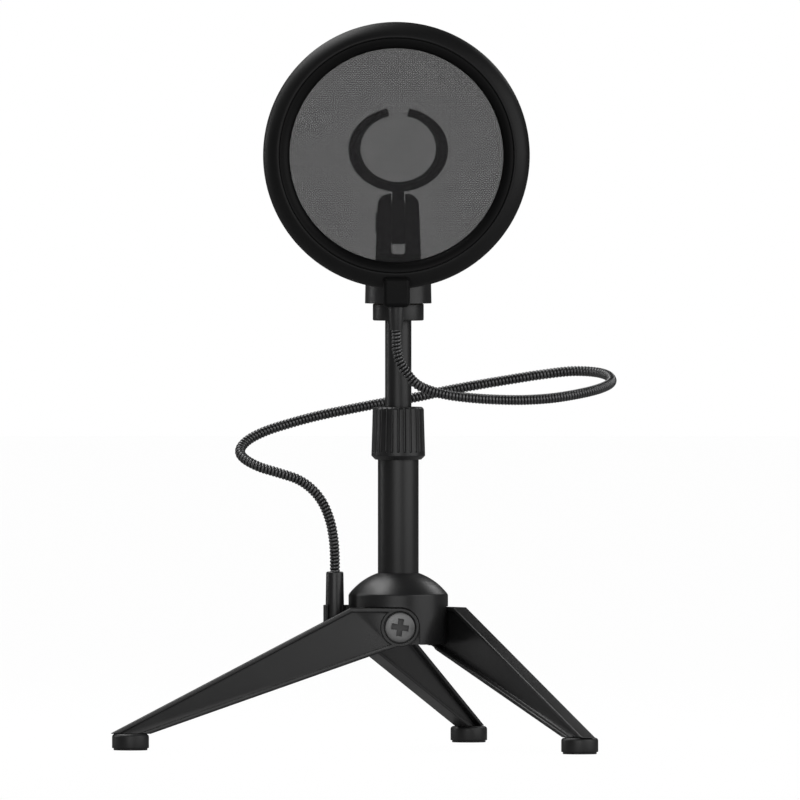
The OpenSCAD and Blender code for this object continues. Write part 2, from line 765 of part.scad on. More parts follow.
module filter_hoop() {
  color(plastic) difference() {
    union() {
      at_ring() rotate_extrude() hoop_section();
      socket_block();
    }
    translate([neck_top.x, neck_top.y, block_z - over])
      cylinder(r = ferrule_r + fit_gap, h = ferrule_spigot + fit_gap + over);
    translate([neck_top.x, neck_top.y, grub_z]) rotate([-90, 0, 0])
      cylinder(d = grub_d + 2 * fit_gap, h = far);
  }
}

module clamp_section() {
  intersection() {
    translate([clamp_r, clamp_a]) circle(clamp_w);
    translate([clamp_r - clamp_w, clamp_a]) square(clamp_w);
  }
}

module front_clamp_ring() {
  color(plastic) at_ring() rotate_extrude() clamp_section();
}

module rear_clamp_ring() {
  color(plastic) at_ring() rotate_extrude() mirror([0, 1]) clamp_section();
}

module net_gaps() {
  gap = net_pitch - net_strand;
  reach = open_r - net_strand;
  least = 1.2;
  inner = [for (i = [-net_cells : net_cells]) max(abs(i) * net_pitch - gap / 2 + least, 0)];
  intersection() {
    circle(reach);
    for (i = [-net_cells : net_cells], j = [-net_cells : net_cells])
      if (norm([inner[i + net_cells], inner[j + net_cells]]) < reach)
        translate([i * net_pitch, j * net_pitch]) square(gap, center = true);
  }
}

module screen(a) {
  color(nylon) at_ring() translate([0, 0, a]) linear_extrude(screen_t) difference() {
    circle(clamp_r);
    net_gaps();
  }
}

module front_screen() { screen(screen_a); }
module rear_screen() { screen(-clamp_a); }

module grub_screw() {
  rim = 0.3;
  from = neck_top.y + ferrule_r + fit_gap;
  color(steel) translate([neck_top.x, from, grub_z]) rotate([-90, 0, 0]) difference() {
    cylinder(d = grub_d, h = block_depth / 2 - ferrule_r - rim);
    translate([0, 0, grub_key]) cylinder(d = grub_key, h = far, $fn = 6);
  }
}

module yoke_front() {
  foot_half = yoke_w / 2;
  top_half = yoke_top_w / 2;
  corner_z = yoke_top - ear_corner;
  polygon([[-foot_half, base_top - over], [foot_half, base_top - over],
    [foot_half, base_top], [top_half, corner_z], [top_half - ear_corner, corner_z],
    [top_half - ear_corner, yoke_top], [ear_corner - top_half, yoke_top],
    [ear_corner - top_half, corner_z], [-top_half, corner_z], [-foot_half, base_top]]);
  for (x = [-1, 1]) translate([x * (top_half - ear_corner), corner_z]) circle(ear_corner);
}

module yoke_side() {
  translate([0, yoke_top - ear_r]) circle(ear_r);
  translate([-ear_r, base_top - over]) square([2 * ear_r, yoke_top - ear_r - base_top + over]);
}

module slot_outline() {
  translate([0, tilt_z - slot_drop + far / 2]) rounded(slot_w, far, slot_corner);
}

// Stands an outline up facing the front, through the whole depth
module through_front() {
  translate([0, far, 0]) rotate([90, 0, 0]) linear_extrude(2 * far) children();
}

// Stands an outline up facing the side, over a width about the middle
module across(w) {
  translate([-w / 2, 0, 0]) rotate([90, 0, 90]) linear_extrude(w) children();
}

module tilt_rod(r, from, to) {
  translate([from, 0, tilt_z]) rotate([0, 90, 0]) cylinder(r = r, h = to - from);
}

// The round rims inside the ears, or the tracks that they run in with a gap
module tilt_rims(gap, from, to) {
  for (side = [0, 1]) mirror([side, 0, 0]) difference() {
    tilt_rod(rim_out + gap, from, to);
    tilt_rod(rim_in - gap, from - over, to + over);
  }
}

module clip_base() {
  color(plastic) difference() {
    union() {
      translate([0, 0, base_z]) cylinder(d1 = base_d, d2 = base_top_d, h = base_h);
      intersection() {
        through_front() yoke_front();
        across(far) yoke_side();
      }
    }
    translate([0, 0, base_z - over]) cylinder(r = clip_insert_r + fit_gap, h = clip_insert_h + over);
    through_front() slot_outline();
    tilt_rod(tilt_screw_d / 2 + fit_gap, -far, far);
    tilt_rod(tilt_head_d / 2 + fit_gap, -far, tilt_head_sink - pivot_half);
    translate([pivot_half - nut_h - fit_gap, 0, tilt_z]) rotate([0, 90, 0])
      cylinder(d = (nut_af + 2 * fit_gap) / cos(30), h = far, $fn = 6);
  }
  color(plastic) tilt_rims(0, slot_w / 2 - rim_h, slot_w / 2 + over);
}

module clip_insert() {
  color(brass) translate([0, 0, base_z]) ring_of(clip_insert_r, stud_r + fit_gap, clip_insert_h);
}

module oval(w, h, y) {
  thin = 0.01;
  translate([0, y, holder_z]) rotate([90, 0, 0])
    linear_extrude(thin, center = true) scale([w, h]) circle(d = 1, $fn = 40);
}

module holder_cone(inset, past) {
  w = holder_w - 2 * inset;
  h = holder_h - 2 * inset;
  share = past / holder_l;
  hull() {
    oval(w + share * holder_taper, h + share * holder_drop, -holder_l / 2 - past);
    oval(w - (1 + share) * holder_taper, h - (1 + share) * holder_drop, holder_l / 2 + past);
  }
}

module tongue_side() {
  top = holder_z - holder_h / 2 + holder_wall / 2 + holder_drop / 4;
  polygon([[-tongue_r, tilt_z], [tongue_r, tilt_z], [tongue_half, top], [-tongue_half, top]]);
}

module mic_clip() {
  color(plastic) difference() {
    union() {
      holder_cone(0, 0);
      across(tongue_t - tongue_step) tongue_side();
      tilt_rod(tongue_r, -tongue_t / 2, tongue_t / 2);
    }
    holder_cone(holder_wall, over);
    through_front() polygon([[0, holder_z], [holder_h * mouth_slope, holder_z + holder_h],
      [-holder_h * mouth_slope, holder_z + holder_h]]);
    tilt_rod(tilt_screw_d / 2 + fit_gap, -far, far);
    tilt_rims(run_gap / 2, tongue_t / 2 - rim_h, tongue_t / 2 + over);
  }
}

module tilt_screw() {
  seat = tilt_head_sink - pivot_half;
  slot = 1.2;
  color(steel) difference() {
    union() {
      tilt_rod(tilt_head_d / 2, -pivot_half - tilt_head_proud, seat);
      tilt_rod(tilt_screw_d / 2, seat, pivot_half - over / 2);
    }
    translate([-pivot_half - tilt_head_proud, 0, tilt_z])
      cube([2 * slot, slot, 2 * tilt_head_d], center = true);
  }
}

module tilt_nut() {
  color(steel) difference() {
    translate([pivot_half - nut_h, 0, tilt_z]) rotate([0, 90, 0])
      cylinder(d = nut_af / cos(30), h = nut_h - run_gap, $fn = 6);
    tilt_rod(tilt_screw_d / 2 + fit_gap / 2, 0, far);
  }
}

hub();
hub_bolt();
tube_plug();
outer_tube();
clutch_collet();
clutch_collar();
inner_tube();
tube_bush();
thread_stud();
leg_left();
leg_right();
leg_rear();
foot_left();
foot_right();
foot_rear();
leg_screws();
leg_washers();
leg_inserts();
neck_bracket();
bracket_screw();
ferrule_lower();
gooseneck();
ferrule_upper();
filter_hoop();
front_clamp_ring();
rear_clamp_ring();
front_screen();
rear_screen();
grub_screw();
clip_base();
clip_insert();
mic_clip();
tilt_screw();
tilt_nut();
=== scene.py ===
import math
import bmesh
import bpy
from mathutils import Matrix, Vector


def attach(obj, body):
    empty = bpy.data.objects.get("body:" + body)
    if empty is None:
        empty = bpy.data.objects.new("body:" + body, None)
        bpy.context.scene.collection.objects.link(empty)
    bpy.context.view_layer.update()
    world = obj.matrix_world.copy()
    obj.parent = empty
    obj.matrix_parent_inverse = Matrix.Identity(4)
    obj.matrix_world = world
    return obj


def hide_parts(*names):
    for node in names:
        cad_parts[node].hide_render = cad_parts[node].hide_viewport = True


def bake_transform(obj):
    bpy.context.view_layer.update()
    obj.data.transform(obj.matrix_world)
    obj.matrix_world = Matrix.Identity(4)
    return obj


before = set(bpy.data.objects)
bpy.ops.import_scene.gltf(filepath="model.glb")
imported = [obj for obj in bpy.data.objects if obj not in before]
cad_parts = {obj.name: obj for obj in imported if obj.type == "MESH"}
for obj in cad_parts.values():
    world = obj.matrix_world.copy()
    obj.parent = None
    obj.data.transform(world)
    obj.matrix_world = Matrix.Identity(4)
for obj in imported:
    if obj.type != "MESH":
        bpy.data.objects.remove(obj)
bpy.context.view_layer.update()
scene = bpy.context.scene
mm = 0.001
print("frame loaded:", len(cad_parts), "nodes")


def addObject(name, data):
    item = bpy.data.objects.new(name, data)
    scene.collection.objects.link(item)
    return item


# The view: nearly parallel, from the front and a touch above
cameraView = {
    "lens": 1700.0, "sensor": 36.0, "width": 0.3077, "aim": (0.00067, 0.0, 0.13421), "elevation": 0.93,
    "farthest": 100.0,
}


def makeCamera(view):
    data = bpy.data.cameras.new("camera")
    data.lens = view["lens"]
    data.sensor_width = view["sensor"]
    data.clip_end = view["farthest"]
    tilt = math.radians(view["elevation"])
    away = view["width"] * view["lens"] / view["sensor"]
    camera = addObject("camera", data)
    camera.location = Vector(view["aim"]) + away * Vector((0, -math.cos(tilt), math.sin(tilt)))
    camera.rotation_euler = (math.pi / 2 - tilt, 0, 0)
    scene.camera = camera


makeCamera(cameraView)


# A node in any tree, with its inputs given as values or as the sockets that feed them
def nodeIn(tree, kind, links=None, **settings):
    node = tree.nodes.new(kind)
    for key, value in settings.items():
        setattr(node, key, value)
    for key, value in (links or {}).items():
        if isinstance(value, bpy.types.NodeSocket):
            tree.links.new(value, node.inputs[key])
        else:
            node.inputs[key].default_value = value
    return node


def calc(tree, operation, first, second=0.0):
    return nodeIn(tree, "ShaderNodeMath", {0: first, 1: second}, operation=operation).outputs[0]


def vecCalc(tree, operation, first, second):
    slots = {0: first, ("Scale" if operation == "SCALE" else 1): second}
    return nodeIn(tree, "ShaderNodeVectorMath", slots, operation=operation).outputs[0]


# Finishes: colours are linear, sizes of the patches and the grain are in metres
finishes = {
    "mouldedBlack": {"color": (0.0115, 0.0115, 0.01184), "spread": 0.22, "rough": 0.36, "roughSpread": 0.1,
                     "specular": 0.5, "patch": 0.03, "grain": 0.00032, "depth": 0.000012, "metal": 0.0},
    "ringBlack": {"color": (0.006, 0.006, 0.00618), "spread": 0.18, "rough": 0.44, "roughSpread": 0.08,
                  "specular": 0.22, "patch": 0.04, "grain": 0.0004, "depth": 0.00001, "metal": 0.0},
    # painted shade: a darker black for the clamp rings' inner lip and the socket block's face
    "clampBlack": {"color": (0.0035, 0.0035, 0.0036), "spread": 0.18, "rough": 0.48, "roughSpread": 0.08,
                   "specular": 0.12, "patch": 0.04, "grain": 0.0004, "depth": 0.00001, "metal": 0.0},
    # a glossier black than the tubes; its lighter colour is painted light for the ferrules' lit look
    "satinFerrule": {"color": (0.0135, 0.0135, 0.0139), "spread": 0.12, "rough": 0.34, "roughSpread": 0.03,
                     "specular": 0.55, "patch": 0.05, "grain": 0.0007, "depth": 0.000002, "metal": 0.0},
    "coatedTube": {"color": (0.0095, 0.0095, 0.00979), "spread": 0.12, "rough": 0.4, "roughSpread": 0.03,
                   "specular": 0.5, "patch": 0.05, "grain": 0.0007, "depth": 0.000002, "metal": 0.0},
    "neckSteel": {"color": (0.13, 0.13, 0.132), "spread": 0.2, "rough": 0.28, "roughSpread": 0.08,
                  "specular": 0.5, "patch": 0.012, "grain": 0.0003, "depth": 0.000004, "metal": 0.85},
    # painted shade: near-black core seen in the grooves between wire turns
    "neckGroove": {"color": (0.003, 0.003, 0.003), "spread": 0.2, "rough": 0.6, "roughSpread": 0.1,
                   "specular": 0.1, "patch": 0.012, "grain": 0.0003, "depth": 0.000004, "metal": 0.0},
    "screwSteel": {"color": (0.17, 0.17, 0.17), "spread": 0.2, "rough": 0.42, "roughSpread": 0.14,
                   "specular": 0.5, "patch": 0.004, "grain": 0.0002, "depth": 0.000008, "metal": 0.6},
    "footRubber": {"color": (0.013, 0.013, 0.01339), "spread": 0.25, "rough": 0.44, "roughSpread": 0.1,
                   "specular": 0.45, "patch": 0.01, "grain": 0.00045, "depth": 0.000025, "metal": 0.0},
    "netThread": {"color": (0.0245, 0.0245, 0.02524), "spread": 0.2, "rough": 0.6, "roughSpread": 0.1,
                  "specular": 0.3, "patch": 0.02, "grain": 0.0002, "depth": 0.000004, "metal": 0.0,
                  "cover": 0.386},  # half clear, as thin nylon is
    # painted shade for the pivot screws' cross recess
    "recessSteel": {"color": (0.055, 0.055, 0.055), "spread": 0.2, "rough": 0.5, "roughSpread": 0.1,
                    "specular": 0.4, "patch": 0.004, "grain": 0.0002, "depth": 0.000008, "metal": 0.0},
    "turnedBrass": {"color": (0.55, 0.4, 0.16), "spread": 0.15, "rough": 0.3, "roughSpread": 0.12,
                    "specular": 0.5, "patch": 0.006, "grain": 0.0003, "depth": 0.000006, "metal": 1.0},
    "blackNylon": {"color": (0.03, 0.03, 0.031), "spread": 0.2, "rough": 0.5, "roughSpread": 0.1,
                   "specular": 0.5, "patch": 0.01, "grain": 0.0004, "depth": 0.00001, "metal": 0.0},
}
noises = {"patchDetail": 4.0, "patchRough": 0.55, "patchShare": 0.6, "grainDetail": 3.0, "grainRough": 0.6,
          "grainShare": 0.4, "tintStops": (0.3, 0.7), "glossFrom": 0.35, "glossTo": 0.65, "bump": 0.5}


# Soft patches of colour and gloss, and a fine grain that breaks up the highlights
def makeFinish(name, look, n):
    material = bpy.data.materials.new(name)
    material.use_nodes = True
    tree = material.node_tree
    shader = tree.nodes["Principled BSDF"]
    shader.inputs["Metallic"].default_value = look["metal"]
    shader.inputs["Specular IOR Level"].default_value = look["specular"]
    shader.inputs["Alpha"].default_value = look.get("cover", 1.0)
    place = nodeIn(tree, "ShaderNodeTexCoord").outputs["Object"]
    patch = nodeIn(tree, "ShaderNodeTexNoise", {
        "Vector": place, "Scale": 1 / look["patch"], "Detail": n["patchDetail"],
        "Roughness": n["patchRough"]})
    tint = nodeIn(tree, "ShaderNodeValToRGB", {"Fac": patch.outputs["Fac"]})
    shares = (1 - look["spread"], 1 + look["spread"])
    for stop, spot, share in zip(tint.color_ramp.elements, n["tintStops"], shares):
        stop.position = spot
        stop.color = [c * share for c in look["color"]] + [1]
    tree.links.new(tint.outputs["Color"], shader.inputs["Base Color"])
    grain = nodeIn(tree, "ShaderNodeTexNoise", {
        "Vector": place, "Scale": 1 / look["grain"], "Detail": n["grainDetail"],
        "Roughness": n["grainRough"]})
    both = calc(tree, "ADD", calc(tree, "MULTIPLY", patch.outputs["Fac"], n["patchShare"]),
                calc(tree, "MULTIPLY", grain.outputs["Fac"], n["grainShare"]))
    gloss = nodeIn(tree, "ShaderNodeMapRange", {
        "Value": both, "From Min": n["glossFrom"], "From Max": n["glossTo"],
        "To Min": look["rough"] - look["roughSpread"], "To Max": look["rough"] + look["roughSpread"]})
    tree.links.new(gloss.outputs["Result"], shader.inputs["Roughness"])
    bump = nodeIn(tree, "ShaderNodeBump", {
        "Height": grain.outputs["Fac"], "Strength": n["bump"], "Distance": look["depth"]})
    tree.links.new(bump.outputs["Normal"], shader.inputs["Normal"])
    return material


materials = {name: makeFinish(name, look, noises) for name, look in finishes.items()}
print("finishes:", len(materials))


# Corners given as (x, y, radius) become a smooth closed outline; a corner takes at most a share of a side
def rounded(corners, steps=5, most=0.48):
    outline = []
    for k, (x, y, radius) in enumerate(corners):
        here = Vector((x, y))
        before = Vector(corners[k - 1][:2]) - here
        after = Vector(corners[(k + 1) % len(corners)][:2]) - here
        if radius <= 0:
            outline.append((x, y))
            continue
        half = before.angle(after) / 2
        cut = min(radius / math.tan(half), most * before.length, most * after.length)
        middle = here + (before.normalized() + after.normalized()).normalized() * cut / math.cos(half)
        first = here + before.normalized() * cut - middle
        last = here + after.normalized() * cut - middle
        start = math.atan2(first.y, first.x)
        sweep = (math.atan2(last.y, last.x) - start + math.pi) % (2 * math.pi) - math.pi
        for step in range(steps + 1):
            turn = start + sweep * step / steps
            across, up = first.length * math.cos(turn), first.length * math.sin(turn)
            outline.append((middle.x + across, middle.y + up))
    return outline


# Turns a closed (radius, height) outline about the Z axis
def spin(shape, outline, steps, place=Matrix()):
    rings = []
    for r, z in outline:
        count = 1 if r < 1e-6 else steps  # a point on the axis stays one point
        turns = [2 * math.pi * k / steps for k in range(count)]
        spots = [Vector((r * math.cos(t), r * math.sin(t), z)) for t in turns]
        rings.append([shape.verts.new(place @ spot) for spot in spots])
    for low, high in zip(rings, rings[1:] + rings[:1]):
        if len(low) == 1 and len(high) == 1:
            continue
        for k in range(steps):
            n = k + 1
            corners = (low[k % len(low)], low[n % len(low)], high[n % len(high)], high[k % len(high)])
            shape.faces.new(list(dict.fromkeys(corners)))


# Pushes a closed outline out between two heights
def prism(shape, outline, low, high, place=Matrix()):
    ends = [[shape.verts.new(place @ Vector((x, y, z))) for x, y in outline] for z in (low, high)]
    shape.faces.new(ends[0][::-1])
    shape.faces.new(ends[1])
    for k in range(len(outline)):
        n = (k + 1) % len(outline)
        shape.faces.new((ends[0][k], ends[0][n], ends[1][n], ends[1][k]))


# Puts a shape made in millimetres into the scene as a plain mesh
def addMesh(name, shape, scale=mm):
    bmesh.ops.recalc_face_normals(shape, faces=shape.faces)
    mesh = bpy.data.meshes.new(name)
    shape.to_mesh(mesh)
    shape.free()
    mesh.transform(Matrix.Scale(scale, 4))
    return addObject(name, mesh)


# Makes the modifiers' result the piece's own mesh
def settle(piece):
    bpy.context.view_layer.update()
    graph = bpy.context.evaluated_depsgraph_get()
    mesh = bpy.data.meshes.new_from_object(piece.evaluated_get(graph), depsgraph=graph)
    mesh.name = piece.name
    piece.modifiers.clear()
    piece.data = mesh


# Angles in degrees: edges that get rounded, edges left sharp on turned and on rounded pieces, and flat faces.
# Points within join, in metres, are one, and level is how near to a height an edge has to be, in millimetres
edgeRule = {"round": 34.0, "spun": 40.0, "crisp": 50.0, "flat": 0.3, "weight": 90, "join": 2e-6, "level": 0.02}


def smoothShade(piece, angle=edgeRule["spun"]):
    piece.data.polygons.foreach_set("use_smooth", [True] * len(piece.data.polygons))
    piece.data.set_sharp_from_angle(angle=math.radians(angle))


# Rounds the edges sharper than an angle, or only those with a weight.
# A low profile is nearer to a flat chamfer
def softenEdges(piece, width, steps=2, angle=edgeRule["round"], weighted=False, profile=0.5):
    bevel = piece.modifiers.new("edges", "BEVEL")
    bevel.width = width * mm
    bevel.segments = steps
    bevel.profile = profile
    bevel.limit_method = "WEIGHT" if weighted else "ANGLE"
    bevel.angle_limit = math.radians(angle)
    bevel.use_clamp_overlap = False
    settle(piece)
    smoothShade(piece, edgeRule["crisp"])
    evened = piece.modifiers.new("normals", "WEIGHTED_NORMAL")
    evened.weight = edgeRule["weight"]
    evened.keep_sharp = True
    settle(piece)


# Gives a finished piece its finish and its body, and hides the solid it stands for
def fit(piece, body, finish, node):
    piece.data.materials.clear()
    piece.data.materials.append(materials[finish])
    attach(piece, body)
    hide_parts(node)


# A copy of a solid with its outer edges rounded, all of them or those at one height in millimetres
def softCopy(name, node, width, steps=2, angle=edgeRule["round"], height=None, profile=0.5, reshape=None):
    shape = bmesh.new()
    shape.from_mesh(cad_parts[node].data)
    bmesh.ops.remove_doubles(shape, verts=shape.verts, dist=edgeRule["join"])
    bmesh.ops.dissolve_limit(shape, angle_limit=math.radians(edgeRule["flat"]), verts=shape.verts,
                             edges=shape.edges)
    if reshape:
        reshape(shape)
    shape.normal_update()
    weights = shape.edges.layers.float.new("bevel_weight_edge")
    for edge in shape.edges:
        level = height is None or all(abs(v.co.z / mm - height) < edgeRule["level"] for v in edge.verts)
        sharp = edge.calc_face_angle(0) > math.radians(angle)
        edge[weights] = 1.0 if level and sharp and edge.is_convex else 0.0
    piece = addMesh(name, shape, 1.0)
    softenEdges(piece, width, steps, angle, True, profile)
    return piece


# A geometry tree with named inputs
def startTree(name, inputs):
    tree = bpy.data.node_groups.new(name, "GeometryNodeTree")
    tree.interface.new_socket("Geometry", in_out="INPUT", socket_type="NodeSocketGeometry")
    for label, kind in inputs.items():
        tree.interface.new_socket(label, in_out="INPUT", socket_type="NodeSocket" + kind)
    tree.interface.new_socket("Geometry", in_out="OUTPUT", socket_type="NodeSocketGeometry")
    return tree, tree.nodes.new("NodeGroupInput").outputs, tree.nodes.new("NodeGroupOutput").inputs


def endTree(tree, geometry, given, result, second=None):
    solid = nodeIn(tree, "GeometryNodeRealizeInstances", {"Geometry": geometry})
    dressed = nodeIn(tree, "GeometryNodeSetMaterial",
                     {"Geometry": solid.outputs[0], "Material": given["Material"]})
    if second:
        dressed = nodeIn(tree, "GeometryNodeSetMaterial", dict(second, Geometry=dressed.outputs[0]))
    tree.links.new(dressed.outputs[0], result[0])
    return tree


def joinParts(tree, *parts):
    join = nodeIn(tree, "GeometryNodeJoinGeometry")
    for part in parts:
        tree.links.new(part, join.inputs[0])
    return join.outputs[0]


def grow(piece, tree, values):
    growth = piece.modifiers.new("growth", "NODES")
    growth.node_group = tree
    for socket in tree.interface.items_tree:
        if socket.in_out == "INPUT" and socket.name in values:
            growth[socket.identifier] = values[socket.name]
    settle(piece)


# Copies of one piece, each turned about the Z axis by the point's own angle
def copiesTree():
    tree, given, result = startTree("turnedCopies", {"Piece": "Object", "Material": "Material"})
    info = nodeIn(tree, "GeometryNodeObjectInfo", {"Object": given["Piece"]}, transform_space="ORIGINAL")
    turn = nodeIn(tree, "GeometryNodeInputNamedAttribute", {"Name": "turn"}, data_type="FLOAT")
    angles = nodeIn(tree, "ShaderNodeCombineXYZ", {"Z": turn.outputs["Attribute"]})
    copies = nodeIn(tree, "GeometryNodeInstanceOnPoints", {
        "Points": given["Geometry"], "Instance": info.outputs["Geometry"], "Rotation": angles.outputs[0]})
    return endTree(tree, copies.outputs[0], given, result)


turnedCopies = copiesTree()


def copyRound(name, piece, angles, finish):
    mesh = bpy.data.meshes.new(name)
    mesh.from_pydata([(0, 0, 0)] * len(angles), [], [])
    mesh.attributes.new("turn", "FLOAT", "POINT").data.foreach_set("value", angles)
    copies = addObject(name, mesh)
    grow(copies, turnedCopies, {"Piece": piece, "Material": materials[finish]})
    bpy.data.objects.remove(piece)
    return copies


# Turns the faces outwards, and first joins the points that lie on each other if a distance is given
def mendFaces(piece, join=None):
    shape = bmesh.new()
    shape.from_mesh(piece.data)
    if join:
        bmesh.ops.remove_doubles(shape, verts=shape.verts, dist=join)
    bmesh.ops.recalc_face_normals(shape, faces=shape.faces)
    shape.to_mesh(piece.data)
    shape.free()


def joinMeshes(piece, *others):
    shape = bmesh.new()
    for source in (piece,) + others:
        shape.from_mesh(source.data)
    shape.to_mesh(piece.data)
    shape.free()
    for source in others:
        bpy.data.objects.remove(source)
    return piece


# Hub, legs and bracket keep the solids' forms, with moulded edges.
# Each leg has its turn about the mast, in degrees
legTurns = {"left": 182.0, "right": 302.4, "rear": 65.8}
hubSize = {"radius": 19.15, "crease": 59.4, "arcRadius": 23.858, "arcCentre": 45.1705, "edge": 0.5,
           "steps": 3, "round": 20.0, "sideSlack": 0.05, "domeSlack": 0.03, "facing": 0.97}
bracketEdge = 0.2


# Exact normals on the hub's round side and dome, so that long facets don't show in the gloss
def roundNormals(piece, s):
    mesh = piece.data
    normals = [Vector(n.vector) for n in mesh.corner_normals]
    for face in mesh.polygons:
        for k in face.loop_indices:
            x, y, z = mesh.vertices[mesh.loops[k].vertex_index].co / mm
            out = Vector((x, y, 0)).normalized()
            arm = Vector((x, y, z - s["arcCentre"]))
            onSide = abs(math.hypot(x, y) - s["radius"]) < s["sideSlack"]
            onDome = z > s["crease"] and abs(arm.length - s["arcRadius"]) < s["domeSlack"]
            if onSide and face.normal.dot(out) > s["facing"]:
                normals[k] = out
            elif onDome and face.normal.dot(arm.normalized()) > s["facing"]:
                normals[k] = arm.normalized()
    mesh.normals_split_custom_set(normals)


hub = softCopy("hub", "hub", hubSize["edge"], hubSize["steps"], hubSize["round"], hubSize["crease"])
roundNormals(hub, hubSize)
fit(hub, "base", "mouldedBlack", "hub")
bracket = softCopy("neckBracket", "neck_bracket", bracketEdge)
fit(bracket, "base", "mouldedBlack", "neck_bracket")

legSize = {"inner": 13.95, "slack": 0.3, "wider": 0.9, "pivot": 47.1, "slope": 50.0, "ramp": (7.5, 10.0),
           "edge": 0.38, "steps": 3, "profile": 0.28}


# Clear of the hub, the flanges on a leg's inner side stand a little further in
def widenLeg(shape, azimuth, s):
    turn = Matrix.Rotation(math.radians(azimuth), 3, "Z")
    slope = math.radians(s["slope"])
    down = turn @ Vector((math.sin(slope), 0, -math.cos(slope)))
    start = Vector((0, 0, s["pivot"] * mm))
    low, high = s["ramp"]
    for place in s["ramp"]:
        everything = shape.verts[:] + shape.edges[:] + shape.faces[:]
        bmesh.ops.bisect_plane(shape, geom=everything, dist=1e-7, plane_co=start + down * place * mm,
                               plane_no=down)
    for vertex in shape.verts:
        share = ((vertex.co - start).dot(down) / mm - low) / (high - low)
        if (turn.transposed() @ vertex.co).y / mm < s["inner"] + s["slack"]:
            vertex.co -= turn @ Vector((0, s["wider"] * min(max(share, 0), 1) * mm, 0))


for side, azimuth in legTurns.items():
    leg = softCopy(side + "Leg", "leg_" + side, legSize["edge"], legSize["steps"], profile=legSize["profile"],
                   reshape=lambda shape: widenLeg(shape, azimuth, legSize))
    fit(leg, side + "_leg", "mouldedBlack", "leg_" + side)
print("hub and legs")

# Feet: rounded top edge, inset tread and rings under it
footSize = {"radius": 7.1, "height": 6.3, "edge": 1.2, "inset": 0.6, "tread": 0.8, "reach": 103.5,
            "side": 16.55, "steps": 72, "groove": 0.35, "rings": 3, "ringFrom": 1.1, "ringPitch": 1.5,
            "ringTop": 0.3, "ringFoot": 0.45, "ringEdge": 0.1, "rimTop": 0.4, "rimFoot": 0.5}


def makeFoot(name, s):
    inner = s["radius"] - s["inset"]
    deep, top, foot = s["groove"], s["ringTop"], s["ringFoot"]
    corners = [(0.0, deep, 0.0)]
    for k in reversed(range(s["rings"])):
        r = inner - s["ringFrom"] - s["ringPitch"] * k
        ring = [(r - foot, deep), (r - top, 0.0), (r + top, 0.0), (r + foot, deep)]
        corners += [(x, z, s["ringEdge"]) for x, z in ring]
    corners += [(inner - s["rimFoot"], deep, 0.1), (inner - s["rimTop"], 0.0, 0.12), (inner, 0.0, 0.25),
                (inner, s["tread"], 0.1), (s["radius"], s["tread"], 0.3),
                (s["radius"], s["height"], s["edge"]), (0.0, s["height"], 0.0)]
    shape = bmesh.new()
    spin(shape, rounded(corners, 4), s["steps"])
    return addMesh(name, shape)


for side, azimuth in legTurns.items():
    foot = makeFoot(side + "Foot", footSize)
    along = Vector((footSize["reach"], footSize["side"], 0)) * mm
    foot.data.transform(Matrix.Rotation(math.radians(azimuth), 4, "Z") @ Matrix.Translation(along))
    smoothShade(foot)
    fit(foot, side + "_leg", "footRubber", "foot_" + side)

# Pivot screws: low domed heads with a cross recess
screwSize = {"head": 5.75, "seat": 17.1, "top": 18.98, "dome": 0.4, "domeSteps": 8, "headEdge": 0.45,
             "seatEdge": 0.2, "shoulder": 2.5, "shank": 1.95, "tip": 0.3, "inner": 7.95, "step": 13.35,
             "height": 47.1, "cross": (6.6, 2.05), "depth": 1.15, "turn": -8.0, "steps": 72, "edge": 0.14,
             "round": 50.0, "blade": 2.0, "recess": (17.4, 19.08), "recessReach": 3.6}


def makeScrew(s):
    lying = Matrix.Translation((0, 0, s["height"])) @ Matrix.Rotation(-math.pi / 2, 4, "X")
    head, seat, top, shank, inner = s["head"], s["seat"], s["top"], s["shank"], s["inner"]
    shares = [1 - k / s["domeSteps"] for k in range(1, s["domeSteps"] + 1)]
    domed = [(head * share, top + s["dome"] * (1 - share ** 2)) for share in shares]
    rim = rounded([(head, seat, s["seatEdge"]), (head, top, s["headEdge"]), (0, top, 0), (0, seat, 0)], 5)
    edge = [p for p in rim if p[0] > head - s["headEdge"] - 0.02]  # leaves out the points on the axis
    outline = [(0, inner), (shank - s["tip"], inner), (shank, inner + s["tip"]), (shank, s["step"]),
               (s["shoulder"], s["step"]), (s["shoulder"], seat)]
    shape = bmesh.new()
    spin(shape, outline + edge + domed, s["steps"], lying)
    screw = addMesh("screw", shape)
    long, wide = (v / 2 for v in s["cross"])
    cross = [(long, -wide), (long, wide), (wide, wide), (wide, long), (-wide, long), (-wide, wide),
             (-long, wide), (-long, -wide), (-wide, -wide), (-wide, -long), (wide, -long), (wide, -wide)]
    tipped = lying @ Matrix.Rotation(math.radians(s["turn"]), 4, "Z")
    cutter = bmesh.new()
    prism(cutter, cross, top + s["dome"] - s["depth"], top + s["blade"], tipped)
    blade = addMesh("blade", cutter)
    cut = screw.modifiers.new("cross", "BOOLEAN")
    cut.object = blade
    cut.solver = "EXACT"
    settle(screw)
    bpy.data.objects.remove(blade)
    softenEdges(screw, s["edge"], 2, s["round"])
    return screw


# The cross recess gets a darker steel: painted shade in the recess
def paintRecessShade(screws, s):
    screws.data.materials.append(materials["recessSteel"])
    low, high = s["recess"]
    for face in screws.data.polygons:
        for azimuth in legTurns.values():
            turn = math.radians(azimuth + 90)
            outward = Vector((math.cos(turn), math.sin(turn), 0))
            depth = face.center.dot(outward) / mm
            aside = (face.center / mm - outward * depth - Vector((0, 0, s["height"]))).length
            if low < depth < high and aside < s["recessReach"]:
                face.material_index = 1


screwTurns = [math.radians(azimuth) for azimuth in legTurns.values()]
screws = copyRound("legScrews", makeScrew(screwSize), screwTurns, "screwSteel")
fit(screws, "base", "screwSteel", "leg_screws")
paintRecessShade(screws, screwSize)
print("feet and pivot screws")

